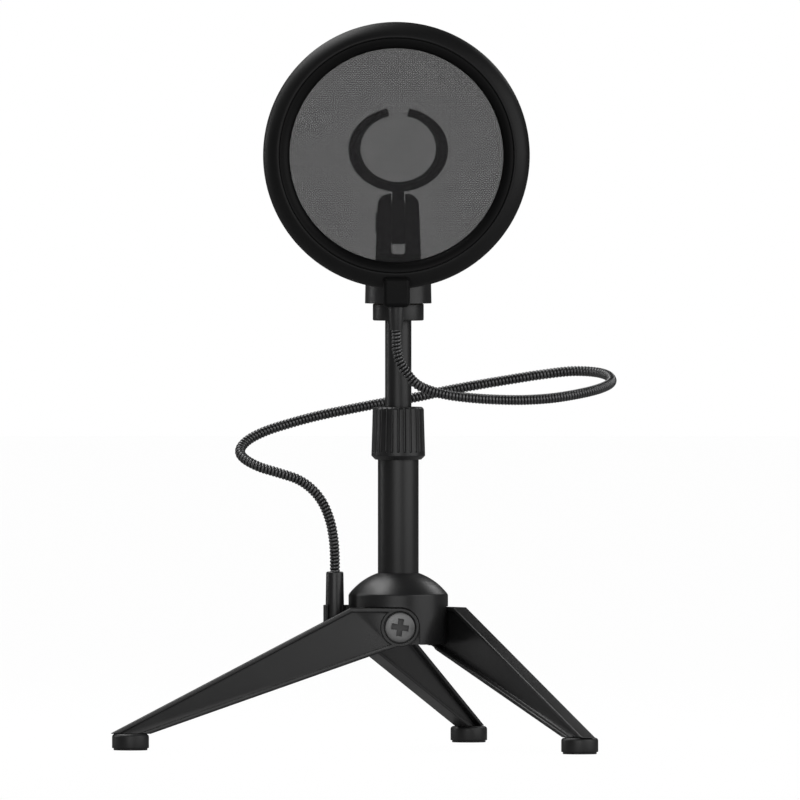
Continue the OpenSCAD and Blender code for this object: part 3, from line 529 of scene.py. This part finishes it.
# Tubes, flange and ferrules: turned outlines of (radius, height, corner) with broken edges
turned = {
    "outerTube": {
        "node": "outer_tube", "body": "base", "finish": "coatedTube", "steps": 96,
        "outline": [(6.85, 52.0, 0.2), (7.85, 52.0, 0.3), (7.85, 121.5, 0.3), (6.85, 121.5, 0.2)]},
    "innerTube": {
        "node": "inner_tube", "body": "mast", "finish": "coatedTube", "steps": 80,
        "outline": [(4.175, 80.0, 0.2), (5.075, 80.0, 0.3), (5.075, 164.8, 0.2), (4.175, 164.8, 0.2)]},
    "threadStud": {
        "node": "thread_stud", "body": "mast", "finish": "coatedTube", "steps": 96,
        "outline": [(0, 152.8, 0), (4.12, 152.8, 0.3), (4.12, 164.8, 0), (9.8, 164.8, 0.5), (9.8, 171.3, 0.5),
                    (7.94, 171.3, 0.2), (7.94, 181.8, 0.1), (6.94, 182.8, 0.1), (0, 182.8, 0)]},
    # The ferrules' lighter finish paints their lit look
    "ferruleUpper": {
        "node": "ferrule_upper", "body": "filter_head", "finish": "satinFerrule", "steps": 64,
        "spot": (-0.7, -58.0),
        "outline": [(0, 168.0, 0), (2.0, 168.0, 0), (2.0, 162.0, 0.12), (2.35, 162.0, 0.16),
                    (3.0, 170.7, 0.5), (3.0, 178.2, 0.2), (0, 178.2, 0)]},
    "ferruleLower": {
        "node": "ferrule_lower", "body": "base", "finish": "satinFerrule", "steps": 64, "spot": (-24.4, -4.3),
        "outline": [(0, 43.5, 0), (3.53, 43.5, 0.6), (3.53, 56.5, 0.5), (3.325, 68.3, 0.75),
                    (2.0, 68.3, 0.15), (2.0, 62.3, 0), (0, 62.3, 0)]},
}

for name, s in turned.items():
    x, y = s.get("spot", (0, 0))
    shape = bmesh.new()
    spin(shape, rounded(s["outline"]), s["steps"], Matrix.Translation((x, y, 0)))
    piece = addMesh(name, shape)
    smoothShade(piece, edgeRule["round"])
    fit(piece, s["body"], s["finish"], s["node"])
print("tubes and ferrules")

# Clutch collar: one rib's share of it, set round the axis and joined; columns are in flute radii
collarSize = {"foot": 111.3, "top": 131.6, "bore": 8.0, "cone": 121.8, "tip": 6.225, "mouth": 5.475,
              "mouthFrom": 130.7, "footRadius": 10.35, "topRadius": 9.85, "chamfer": 1.5, "band": 3.3,
              "edge": 1.3, "flute": 0.55, "flutes": 26, "fluteEnd": 3.2, "startRows": 8, "rows": 10,
              "columns": (0, 0.25, 0.5, 0.7, 0.84, 0.94, 1.0, 1.08, 1.3, 1.7)}


def collarOutline(s, start, straight, slope):
    low, high = s["startRows"], s["rows"]
    rows = [start - s["flute"] * (1 - k / low) for k in range(low + 1)]
    rows += [start + (s["top"] - s["fluteEnd"] - start) * k / high for k in range(1, high + 1)]
    corners = [(s["bore"], s["foot"], 0.2), (s["footRadius"] - s["chamfer"], s["foot"], 0.3),
               (s["footRadius"], straight, 0.4)]
    corners += [(s["footRadius"] - slope * (z - straight), z, 0) for z in rows]
    corners += [(s["topRadius"], s["top"], s["edge"]), (s["mouth"], s["top"], 0.3),
                (s["mouth"], s["mouthFrom"], 0.1), (s["tip"], s["mouthFrom"], 0.1),
                (s["bore"], s["cone"], 0.1)]
    return rounded(corners, 8)


def makeCollar(s):
    straight = s["foot"] + s["chamfer"]
    slope = (s["footRadius"] - s["topRadius"]) / (s["top"] - s["edge"] - straight)
    start = s["foot"] + s["band"]
    outline = collarOutline(s, start, straight, slope)
    half = math.pi / s["flutes"]
    turns = [s["flute"] * u / s["footRadius"] for u in s["columns"]] + [half]
    turns = [-a for a in reversed(turns[1:])] + turns
    shape = bmesh.new()
    grid = []
    for turn in turns:
        column = []
        for r, z in outline:
            spare = s["flute"] ** 2 - (s["footRadius"] * turn) ** 2 - min(z - start, 0) ** 2
            if spare > 0 and z > start - s["flute"]:
                r = min(r, s["footRadius"] - slope * (z - straight) - math.sqrt(spare))
            column.append(shape.verts.new((r * math.cos(turn), r * math.sin(turn), z)))
        grid.append(column)
    for left, right in zip(grid, grid[1:]):
        for k in range(len(outline)):
            n = (k + 1) % len(outline)
            shape.faces.new((left[k], right[k], right[n], left[n]))
    sector = addMesh("sector", shape)
    ribTurns = [2 * half * (k + 0.5) for k in range(s["flutes"])]
    collar = copyRound("clutchCollar", sector, ribTurns, "mouldedBlack")
    mendFaces(collar, join=1e-6)
    smoothShade(collar)
    return collar


fit(makeCollar(collarSize), "collar", "mouldedBlack", "clutch_collar")
print("clutch collar")

# Filter ring: a crowned hoop with a socket block, and two clamp rings
ringSize = {"x": -0.7, "y": -58.0, "z": 228.9, "radius": 51.1, "seat": 45.0, "open": 41.55, "depth": 10.8,
            "rim": 0.6, "inset": 1.8, "ledge": 2.4, "ledgeEdge": 0.2, "lipFrom": 3.0, "lipEdge": 0.5,
            "crownSteps": 24, "screen": 0.4, "clamp": 3.4, "clampLip": 0.63, "clampGap": 0.05,
            "clampEdge": 0.2, "clampSteps": 20, "steps": 256, "block": (10.3, 13.0, 11.5),
            "blockFoot": 170.7, "blockCorner": 1.8}
ringPlace = Matrix.Translation((ringSize["x"], ringSize["y"], ringSize["z"]))
facing = ringPlace @ Matrix.Rotation(math.pi / 2, 4, "X")


# Lip, crowned side and ledge; points that would crowd each other are left out
def hoopOutline(s):
    centre = s["seat"] - s["inset"]
    half, rim = s["depth"] / 2, s["rim"] / 2
    reach = (s["radius"] - centre) ** 2 - s["inset"] ** 2
    back = (reach / (half - rim) - (half + rim)) / 2
    bend = math.hypot(s["inset"], half + back)
    first = math.atan2(half + back, s["inset"])
    last = math.atan2(rim + back, s["radius"] - centre)
    crown = []
    for k in range(s["crownSteps"] + 1):
        turn = first * (1 - k / s["crownSteps"]) + last * k / s["crownSteps"]
        crown.append((centre + bend * math.cos(turn), bend * math.sin(turn) - back))
    lip = rounded([(s["seat"], s["lipFrom"], 0), (s["seat"], half, s["lipEdge"]), crown[4] + (0,)], 5)
    upper = lip[:-1] + [p for p in crown[1:] if p[0] > lip[-2][0] + 0.05]
    upper = [p for k, p in enumerate(upper) if k == 0 or math.dist(p, upper[k - 1]) > 0.02]
    lower = [(r, -a) for r, a in reversed(upper)]
    ledge = s["ledge"] / 2
    thin = ledge - s["ledgeEdge"]
    return upper + lower + [(s["seat"], -ledge), (s["open"], -thin), (s["open"], thin), (s["seat"], ledge)]


def makeHoop(s):
    shape = bmesh.new()
    spin(shape, hoopOutline(s), s["steps"], facing)
    hoop = addMesh("filterHoop", shape)
    smoothShade(hoop)
    wide, deep, tall = s["block"]
    box = bmesh.new()
    bmesh.ops.create_cube(box, size=1.0)
    bmesh.ops.scale(box, vec=(wide, deep, tall), verts=box.verts)
    bmesh.ops.translate(box, vec=(s["x"], s["y"], s["blockFoot"] + tall / 2), verts=box.verts)
    block = addMesh("block", box)
    softenEdges(block, s["blockCorner"], 5)
    ringFaces = len(hoop.data.polygons)
    joinMeshes(hoop, block)
    fit(hoop, "filter_head", "ringBlack", "filter_hoop")
    # The socket block takes the darker black, painted shade on its face
    hoop.data.materials.append(materials["clampBlack"])
    for face in hoop.data.polygons[ringFaces:]:
        face.material_index = 1


# A sign of 1 is the front ring, and -1 the rear one
def makeClamp(name, s, sign):
    start = s["ledge"] / 2 + s["screen"]
    outer, wide, high = s["seat"] - s["clampGap"], s["clamp"] + s["clampLip"], s["clamp"]
    turns = [math.pi / 2 * k / s["clampSteps"] for k in range(1, s["clampSteps"])]
    outline = [(outer, start), (outer - wide + 0.05, start)]
    outline += [(outer - wide * math.cos(t), start + high * math.sin(t)) for t in turns]
    outline += [(outer - s["clampEdge"], start + high), (outer, start + high - s["clampEdge"])]
    shape = bmesh.new()
    spin(shape, [(r, sign * a) for r, a in outline], s["steps"], facing)
    clamp = addMesh(name, shape)
    smoothShade(clamp)
    return clamp


makeHoop(ringSize)
# The clamp rings take the darker black, painted shade on the ring's inner lip
fit(makeClamp("frontClamp", ringSize, 1), "filter_head", "clampBlack", "front_clamp_ring")
fit(makeClamp("rearClamp", ringSize, -1), "filter_head", "clampBlack", "rear_clamp_ring")
print("filter ring")

# Screens: two layers of fine net, one turned half a right angle against the other; some threads are heavier
netSize = {"radius": 44.7, "pitch": 0.32, "width": 0.228, "thick": 0.066, "every": 7.0, "heavy": 0.14,
           "frontY": -59.4, "rearY": -56.6, "rearTurn": 45.0}


def netTree():
    sizes = dict.fromkeys(("Radius", "Pitch", "Width", "Thick", "Every", "Heavy", "Turn"), "Float")
    tree, given, result = startTree("threadNet", dict(sizes, Material="Material"))
    radius, pitch, thick = given["Radius"], given["Pitch"], given["Thick"]
    half = calc(tree, "FLOOR", calc(tree, "DIVIDE", radius, pitch))
    count = calc(tree, "ADD", calc(tree, "MULTIPLY", half, 2.0), 1.0)
    first = calc(tree, "MULTIPLY", calc(tree, "MULTIPLY", half, pitch), -1.0)
    start = nodeIn(tree, "ShaderNodeCombineXYZ", {"X": first})
    step = nodeIn(tree, "ShaderNodeCombineXYZ", {"X": pitch})
    line = nodeIn(tree, "GeometryNodeMeshLine", {
        "Count": count, "Start Location": start.outputs[0], "Offset": step.outputs[0]})
    spot = nodeIn(tree, "GeometryNodeInputPosition").outputs[0]
    across = nodeIn(tree, "ShaderNodeSeparateXYZ", {0: spot}).outputs["X"]
    square = calc(tree, "MULTIPLY", radius, radius)
    left = calc(tree, "SUBTRACT", square, calc(tree, "MULTIPLY", across, across))
    chord = calc(tree, "MULTIPLY", 2.0, calc(tree, "SQRT", left))
    rod = nodeIn(tree, "GeometryNodeMeshCylinder", {"Vertices": 6, "Radius": 0.5, "Depth": 1.0})
    lying = nodeIn(tree, "GeometryNodeTransform", {
        "Geometry": rod.outputs["Mesh"], "Rotation": (math.pi / 2, 0, 0)})
    place = calc(tree, "MODULO", nodeIn(tree, "GeometryNodeInputIndex").outputs[0], given["Every"])
    extra = calc(tree, "MULTIPLY", calc(tree, "LESS_THAN", place, 0.5), given["Heavy"])
    wide = calc(tree, "MULTIPLY", given["Width"], calc(tree, "ADD", extra, 1.0))
    size = nodeIn(tree, "ShaderNodeCombineXYZ", {"X": wide, "Y": chord, "Z": thick})
    warp = nodeIn(tree, "GeometryNodeInstanceOnPoints", {
        "Points": line.outputs[0], "Instance": lying.outputs[0], "Scale": size.outputs[0]}).outputs[0]
    behind = nodeIn(tree, "ShaderNodeCombineXYZ", {"Z": calc(tree, "MULTIPLY", thick, -0.8)})  # a close weave
    weft = nodeIn(tree, "GeometryNodeTransform", {
        "Geometry": warp, "Translation": behind.outputs[0], "Rotation": (0, 0, math.pi / 2)})
    lay = nodeIn(tree, "ShaderNodeCombineXYZ", {"Z": given["Turn"]})
    both = nodeIn(tree, "GeometryNodeTransform", {
        "Geometry": joinParts(tree, warp, weft.outputs[0]), "Rotation": lay.outputs[0]})
    return endTree(tree, both.outputs[0], given, result)


threadNet = netTree()


def makeNet(name, s, depth, turn, node):
    net = addObject(name, bpy.data.meshes.new(name))
    grow(net, threadNet, {
        "Radius": s["radius"] * mm, "Pitch": s["pitch"] * mm, "Width": s["width"] * mm,
        "Thick": s["thick"] * mm, "Every": s["every"], "Heavy": s["heavy"], "Turn": math.radians(turn),
        "Material": materials["netThread"]})
    ring = Vector((ringSize["x"], depth, ringSize["z"])) * mm
    net.data.transform(Matrix.Translation(ring) @ Matrix.Rotation(math.pi / 2, 4, "X"))
    fit(net, "filter_head", "netThread", node)


makeNet("frontScreen", netSize, netSize["frontY"], 0.0, "front_screen")
makeNet("rearScreen", netSize, netSize["rearY"], netSize["rearTurn"], "rear_screen")
print("screens")

# Gooseneck: a wire wound round a core, along the same route as the solid.
# The route runs from the ring to the hub, in millimetres
neckRoute = [
    (-0.7, -58, 168), (-0.7, -58, 160), (-0.5, -58, 154.5), (0.8, -58, 149.5), (3.6, -57.5, 145),
    (7, -57, 141.3), (12, -56, 138.8), (19, -54, 137), (28, -51, 135.8), (38, -47, 135.1),
    (48, -42, 134.9), (58, -36, 135.4), (67, -29, 136.6), (75, -20.5, 138.2), (80.3, -11, 140),
    (82, -2, 141.8), (80, 6, 143.8), (74.5, 11.5, 144.9), (66, 15, 145), (55, 17, 143.7), (43, 18, 141.8),
    (31, 18.5, 139.8), (19, 19, 137.6), (7, 19, 135), (-6, 19, 132.8), (-19, 18.5, 130.3),
    (-31, 17.5, 127.8), (-42, 15.5, 124.9), (-51.1, 12.5, 122), (-57.8, 9, 118.6), (-60.8, 5, 115),
    (-59.4, 1, 111.8), (-53.6, -2.5, 108.6), (-45.5, -4.5, 106.1), (-38.5, -5.1, 103.7),
    (-33, -5.1, 99.8), (-29, -4.8, 94.6), (-26.3, -4.5, 88), (-24.9, -4.3, 81), (-24.4, -4.3, 74),
    (-24.4, -4.3, 67), (-24.4, -4.3, 62.3)]
neckSize = {"pitch": 1.36, "coil": 1.57, "wireWide": 1.08, "wireHigh": 0.82, "core": 1.65, "steps": 18,
            "perPoint": 12, "bendFrom": 149.0, "bendTo": 162.0}


# A smooth line through the points, with a count of steps between each two
def smoothRoute(points, count):
    spots = [2 * Vector(points[0]) - Vector(points[1])] + [Vector(p) for p in points]
    spots.append(2 * spots[-1] - spots[-2])
    line = []
    for a, b, c, d in zip(spots, spots[1:], spots[2:], spots[3:]):
        bow, twist = 2 * a - 5 * b + 4 * c - d, 3 * b - a - 3 * c + d
        for k in range(count):
            t = k / count
            line.append((2 * b + (c - a) * t + bow * t ** 2 + twist * t ** 3) / 2)
    return line + [spots[-2]]


def neckTree():
    sizes = dict.fromkeys(("Pitch", "Coil", "Wire Wide", "Wire High", "Core"), "Float")
    inputs = dict(sizes, Steps="Int", Material="Material", Groove="Material")
    tree, given, result = startTree("woundNeck", inputs)
    path = nodeIn(tree, "GeometryNodeMeshToCurve", {0: given["Geometry"]}).outputs[0]
    length = nodeIn(tree, "GeometryNodeCurveLength", {0: path}).outputs[0]
    count = calc(tree, "MULTIPLY", calc(tree, "DIVIDE", length, given["Pitch"]), given["Steps"])
    fine = nodeIn(tree, "GeometryNodeResampleCurve", {"Curve": path, "Count": count}).outputs[0]
    travelled = nodeIn(tree, "GeometryNodeSplineParameter").outputs["Length"]
    turn = calc(tree, "MULTIPLY", calc(tree, "DIVIDE", travelled, given["Pitch"]), 2 * math.pi)
    normal = nodeIn(tree, "GeometryNodeInputNormal").outputs[0]
    side = vecCalc(tree, "CROSS_PRODUCT", nodeIn(tree, "GeometryNodeInputTangent").outputs[0], normal)
    outward = vecCalc(tree, "ADD", vecCalc(tree, "SCALE", normal, calc(tree, "COSINE", turn)),
                      vecCalc(tree, "SCALE", side, calc(tree, "SINE", turn)))
    kept = nodeIn(tree, "GeometryNodeCaptureAttribute")
    kept.capture_items.new("VECTOR", "outward")
    tree.links.new(fine, kept.inputs["Geometry"])
    tree.links.new(outward, kept.inputs["outward"])
    out = kept.outputs["outward"]
    coil = nodeIn(tree, "GeometryNodeSetPosition", {
        "Geometry": kept.outputs["Geometry"], "Offset": vecCalc(tree, "SCALE", out, given["Coil"])})
    faced = nodeIn(tree, "GeometryNodeSetCurveNormal", {"Curve": coil.outputs[0], "Normal": out}, mode="FREE")
    disc = nodeIn(tree, "GeometryNodeCurvePrimitiveCircle", {"Resolution": 10, "Radius": 0.5})
    oval = nodeIn(tree, "ShaderNodeCombineXYZ", {"X": given["Wire High"], "Y": given["Wire Wide"], "Z": 1.0})
    section = nodeIn(tree, "GeometryNodeTransform", {"Geometry": disc.outputs[0], "Scale": oval.outputs[0]})
    wire = nodeIn(tree, "GeometryNodeCurveToMesh", {
        "Curve": faced.outputs[0], "Profile Curve": section.outputs[0], "Fill Caps": True})
    bore = nodeIn(tree, "GeometryNodeCurvePrimitiveCircle", {"Resolution": 20, "Radius": given["Core"]})
    core = nodeIn(tree, "GeometryNodeCurveToMesh", {
        "Curve": path, "Profile Curve": bore.outputs[0], "Fill Caps": True})
    # The core shows in the gaps between wire turns; its near-black finish is painted shade in the grooves
    marked = nodeIn(tree, "GeometryNodeStoreNamedAttribute", {
        "Geometry": core.outputs[0], "Name": "groove", "Value": True}, data_type="BOOLEAN", domain="FACE")
    parts = joinParts(tree, wire.outputs[0], marked.outputs[0])
    smooth = nodeIn(tree, "GeometryNodeSetShadeSmooth", {"Geometry": parts})
    within = nodeIn(tree, "GeometryNodeInputNamedAttribute", {"Name": "groove"}, data_type="BOOLEAN")
    dark = {"Selection": within.outputs["Attribute"], "Material": given["Groove"]}
    return endTree(tree, smooth.outputs[0], given, result, dark)


def makeNeck(s):
    line = [p * mm for p in smoothRoute(neckRoute, s["perPoint"])]
    mesh = bpy.data.meshes.new("gooseneck")
    mesh.from_pydata(line, [(k, k + 1) for k in range(len(line) - 1)], [])
    neck = addObject("gooseneck", mesh)
    grow(neck, neckTree(), {
        "Pitch": s["pitch"] * mm, "Coil": s["coil"] * mm, "Wire Wide": s["wireWide"] * mm,
        "Wire High": s["wireHigh"] * mm, "Core": s["core"] * mm, "Steps": s["steps"],
        "Material": materials["neckSteel"], "Groove": materials["neckGroove"]})
    mendFaces(neck)
    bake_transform(neck)
    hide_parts("gooseneck")


makeNeck(neckSize)
print("gooseneck")

# Microphone clip: base with a yoke, and a tapered holder with an open mouth on a tongue
holderSize = {"centre": 230.7, "wide": 38.4, "high": 32.4, "wall": 3.2, "taper": 3.0, "drop": 0.4,
              "half": 21.0, "mouth": 7.0, "steps": 120, "edge": 0.4, "neck": 4.6, "neckHalf": 9.0,
              "neckTop": 216.1, "neckArc": 8.0, "arcSteps": 12, "neckEdge": 0.2, "tilt": 202.5, "boss": 5.0,
              "bossRadius": 8.4, "bossSteps": 96, "bore": 2.55, "track": (5.75, 7.65),
              "trackDepth": 0.4, "neckSharp": 60.0}
clipEdges = {"base": 0.14, "screw": 0.2, "nut": 0.2}


# The open tapered tube that takes the microphone
def makeCradle(s):
    shape = bmesh.new()
    ends = []
    lip = math.atan2(s["high"] / 2 - s["wall"], s["mouth"] / 2)
    for y, share in ((-s["half"], 0.0), (s["half"], 1.0)):
        loop = []
        for inset in (0.0, s["wall"]):
            a = (s["wide"] - share * s["taper"]) / 2 - inset
            b = (s["high"] - share * s["drop"]) / 2 - inset
            start = math.atan2(math.sin(lip) / b, math.cos(lip) / a)
            turns = [start - (math.pi + 2 * start) * k / s["steps"] for k in range(s["steps"] + 1)]
            spots = [(a * math.cos(t), y, s["centre"] + b * math.sin(t)) for t in turns]
            loop.append([shape.verts.new(spot) for spot in spots])
        ends.append(loop)
    (frontOut, frontIn), (backOut, backIn) = ends
    for k in range(s["steps"]):
        shape.faces.new((frontOut[k], frontOut[k + 1], backOut[k + 1], backOut[k]))
        shape.faces.new((frontIn[k], backIn[k], backIn[k + 1], frontIn[k + 1]))
        shape.faces.new((frontOut[k], frontIn[k], frontIn[k + 1], frontOut[k + 1]))
        shape.faces.new((backOut[k], backOut[k + 1], backIn[k + 1], backIn[k]))
    for k in (0, s["steps"]):
        shape.faces.new((frontOut[k], backOut[k], backIn[k], frontIn[k]))
    cradle = addMesh("micClip", shape)
    softenEdges(cradle, s["edge"], 3)
    return cradle


# The flat neck under it, and the round boss that tilts in the yoke
def makeTongue(s):
    sideways = Matrix(((0, 0, 1, 0), (1, 0, 0, 0), (0, 1, 0, 0), (0, 0, 0, 1)))
    radius, count = s["neckArc"], s["arcSteps"]
    turns = [math.pi * (count - k) / count for k in range(1, count)]
    arc = [(radius * math.cos(t), s["tilt"] + radius * math.sin(t)) for t in turns]
    sides = [(s["bossRadius"], s["tilt"]), (s["neckHalf"], s["neckTop"]), (-s["neckHalf"], s["neckTop"]),
             (-s["bossRadius"], s["tilt"])]
    shape = bmesh.new()
    prism(shape, arc + sides, -s["neck"] / 2, s["neck"] / 2, sideways)
    neck = addMesh("neck", shape)
    softenEdges(neck, s["neckEdge"], 2, s["neckSharp"])
    half, low, (inner, outer) = s["boss"] / 2, s["boss"] / 2 - s["trackDepth"], s["track"]
    face = [(s["bore"], half, 0.2), (inner, half, 0.1), (inner, low, 0.05), (outer, low, 0.05),
            (outer, half, 0.1), (s["bossRadius"], half, 0.3)]
    outline = rounded(face + [(r, -x, e) for r, x, e in reversed(face)], 3)
    shape = bmesh.new()
    spin(shape, outline, s["bossSteps"],
         Matrix.Translation((0, 0, s["tilt"])) @ Matrix.Rotation(math.pi / 2, 4, "Y"))
    boss = addMesh("boss", shape)
    smoothShade(boss)
    return neck, boss


holder = joinMeshes(makeCradle(holderSize), *makeTongue(holderSize))
fit(holder, "mic_clip", "mouldedBlack", "mic_clip")
clipBase = softCopy("clipBase", "clip_base", clipEdges["base"], 3)
fit(clipBase, "clip_base", "mouldedBlack", "clip_base")
tiltScrew = softCopy("tiltScrew", "tilt_screw", clipEdges["screw"], 3)
fit(tiltScrew, "clip_base", "screwSteel", "tilt_screw")
tiltNut = softCopy("tiltNut", "tilt_nut", clipEdges["nut"])
fit(tiltNut, "clip_base", "screwSteel", "tilt_nut")
print("microphone clip")

# Inner fittings keep their solids and only get a finish
innerFinish = {
    "hub_bolt": "screwSteel", "tube_plug": "screwSteel", "bracket_screw": "screwSteel",
    "grub_screw": "screwSteel", "leg_inserts": "turnedBrass", "clip_insert": "turnedBrass",
    "clutch_collet": "blackNylon", "tube_bush": "blackNylon", "leg_washers": "blackNylon",
}
for node, finish in innerFinish.items():
    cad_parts[node].data.materials.clear()
    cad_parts[node].data.materials.append(materials[finish])
print("inner fittings")

# Floor, surroundings and lamps; azimuth runs from the front towards the right
studio = {"floorRadius": 7.0, "floorSteps": 96, "floorClear": 0.985, "floorVeil": 0.02, "floorMatt": 0.8,
          "floorShare": 0.2, "floorGloss": 0.08, "fill": 0.12, "gloss": 0.05}
lampAim = (0, 0, 0.14)
lamps = {
    "rightSoftbox": {"azimuth": 62, "elevation": 14, "away": 0.95, "size": (1.0, 0.9), "radiance": 1.5},
    "leftStrip": {"azimuth": -106, "elevation": 23, "away": 0.85, "size": (0.1, 0.8), "radiance": 5.2},
    "overhead": {"azimuth": -130, "elevation": 57, "away": 1.0, "size": (0.55, 0.55), "radiance": 4.3},
    "backRight": {"azimuth": 139, "elevation": 34, "away": 1.0, "size": (0.35, 0.3), "radiance": 3.4},
    "topLeft": {"azimuth": -84, "elevation": 65, "away": 1.1, "size": (0.45, 0.45), "radiance": 3.9},
    "frontFill": {"azimuth": -4, "elevation": 6, "away": 1.7, "size": (1.1, 1.1), "radiance": 1.95},
}


# White for the camera; glossy rays get a dim level of their own, and the rest is light
def makeSurround(s):
    world = bpy.data.worlds.new("studio")
    world.use_nodes = True
    scene.world = world
    tree = world.node_tree
    rays = nodeIn(tree, "ShaderNodeLightPath").outputs
    seen = calc(tree, "MAXIMUM", rays["Is Camera Ray"], rays["Is Transmission Ray"])
    unseen = nodeIn(tree, "ShaderNodeMapRange", {
        "Value": rays["Is Glossy Ray"], "To Min": s["fill"], "To Max": s["gloss"]})
    level = nodeIn(tree, "ShaderNodeMapRange", {"Value": seen, "To Min": unseen.outputs[0], "To Max": 1.0})
    back = tree.nodes["Background"]
    back.inputs["Color"].default_value = (1, 1, 1, 1)
    tree.links.new(level.outputs[0], back.inputs["Strength"])


# A thin veil to the camera, so that legs folded below the floor and the undersides still show
def makeFloor(s):
    shape = bmesh.new()
    bmesh.ops.create_circle(shape, cap_ends=True, segments=s["floorSteps"], radius=s["floorRadius"])
    floor = addMesh("floor", shape, 1.0)
    paper = bpy.data.materials.new("paperWhite")
    paper.use_nodes = True
    tree = paper.node_tree
    tree.nodes.remove(tree.nodes["Principled BSDF"])
    rays = nodeIn(tree, "ShaderNodeLightPath").outputs
    through = calc(tree, "MAXIMUM", rays["Is Transmission Ray"], rays["Is Shadow Ray"])
    passing = calc(tree, "MAXIMUM", rays["Is Camera Ray"], through)
    matt, faint, veil = [nodeIn(tree, "ShaderNodeBsdfDiffuse", {"Color": (s[share],) * 3 + (1,)}).outputs[0]
                         for share in ("floorMatt", "floorShare", "floorVeil")]
    glow = nodeIn(tree, "ShaderNodeEmission", {"Strength": s["floorGloss"]}).outputs[0]
    clear = nodeIn(tree, "ShaderNodeBsdfTransparent", {"Color": (s["floorClear"],) * 3 + (1,)}).outputs[0]
    dim = nodeIn(tree, "ShaderNodeAddShader", {0: faint, 1: glow}).outputs[0]
    lit = nodeIn(tree, "ShaderNodeMixShader", {0: rays["Is Glossy Ray"], 1: matt, 2: dim}).outputs[0]
    thin = nodeIn(tree, "ShaderNodeAddShader", {0: clear, 1: veil}).outputs[0]
    surface = nodeIn(tree, "ShaderNodeMixShader", {0: passing, 1: lit, 2: thin}).outputs[0]
    tree.links.new(surface, tree.nodes["Material Output"].inputs["Surface"])
    floor.data.materials.append(paper)


def makeLamp(name, s):
    lamp = bpy.data.lights.new(name, "AREA")
    lamp.shape = "RECTANGLE"
    lamp.size, lamp.size_y = s["size"]
    lamp.energy = s["radiance"] * math.pi * s["size"][0] * s["size"][1]
    turn, lift = math.radians(s["azimuth"]), math.radians(s["elevation"])
    way = Vector((math.sin(turn) * math.cos(lift), -math.cos(turn) * math.cos(lift), math.sin(lift)))
    stand = addObject(name, lamp)
    stand.location = Vector(lampAim) + s["away"] * way
    stand.rotation_euler = way.to_track_quat("Z", "Y").to_euler()
    stand.visible_camera = False


makeSurround(studio)
makeFloor(studio)
for name, s in lamps.items():
    makeLamp(name, s)
scene.view_settings.view_transform = "Standard"
print("studio")
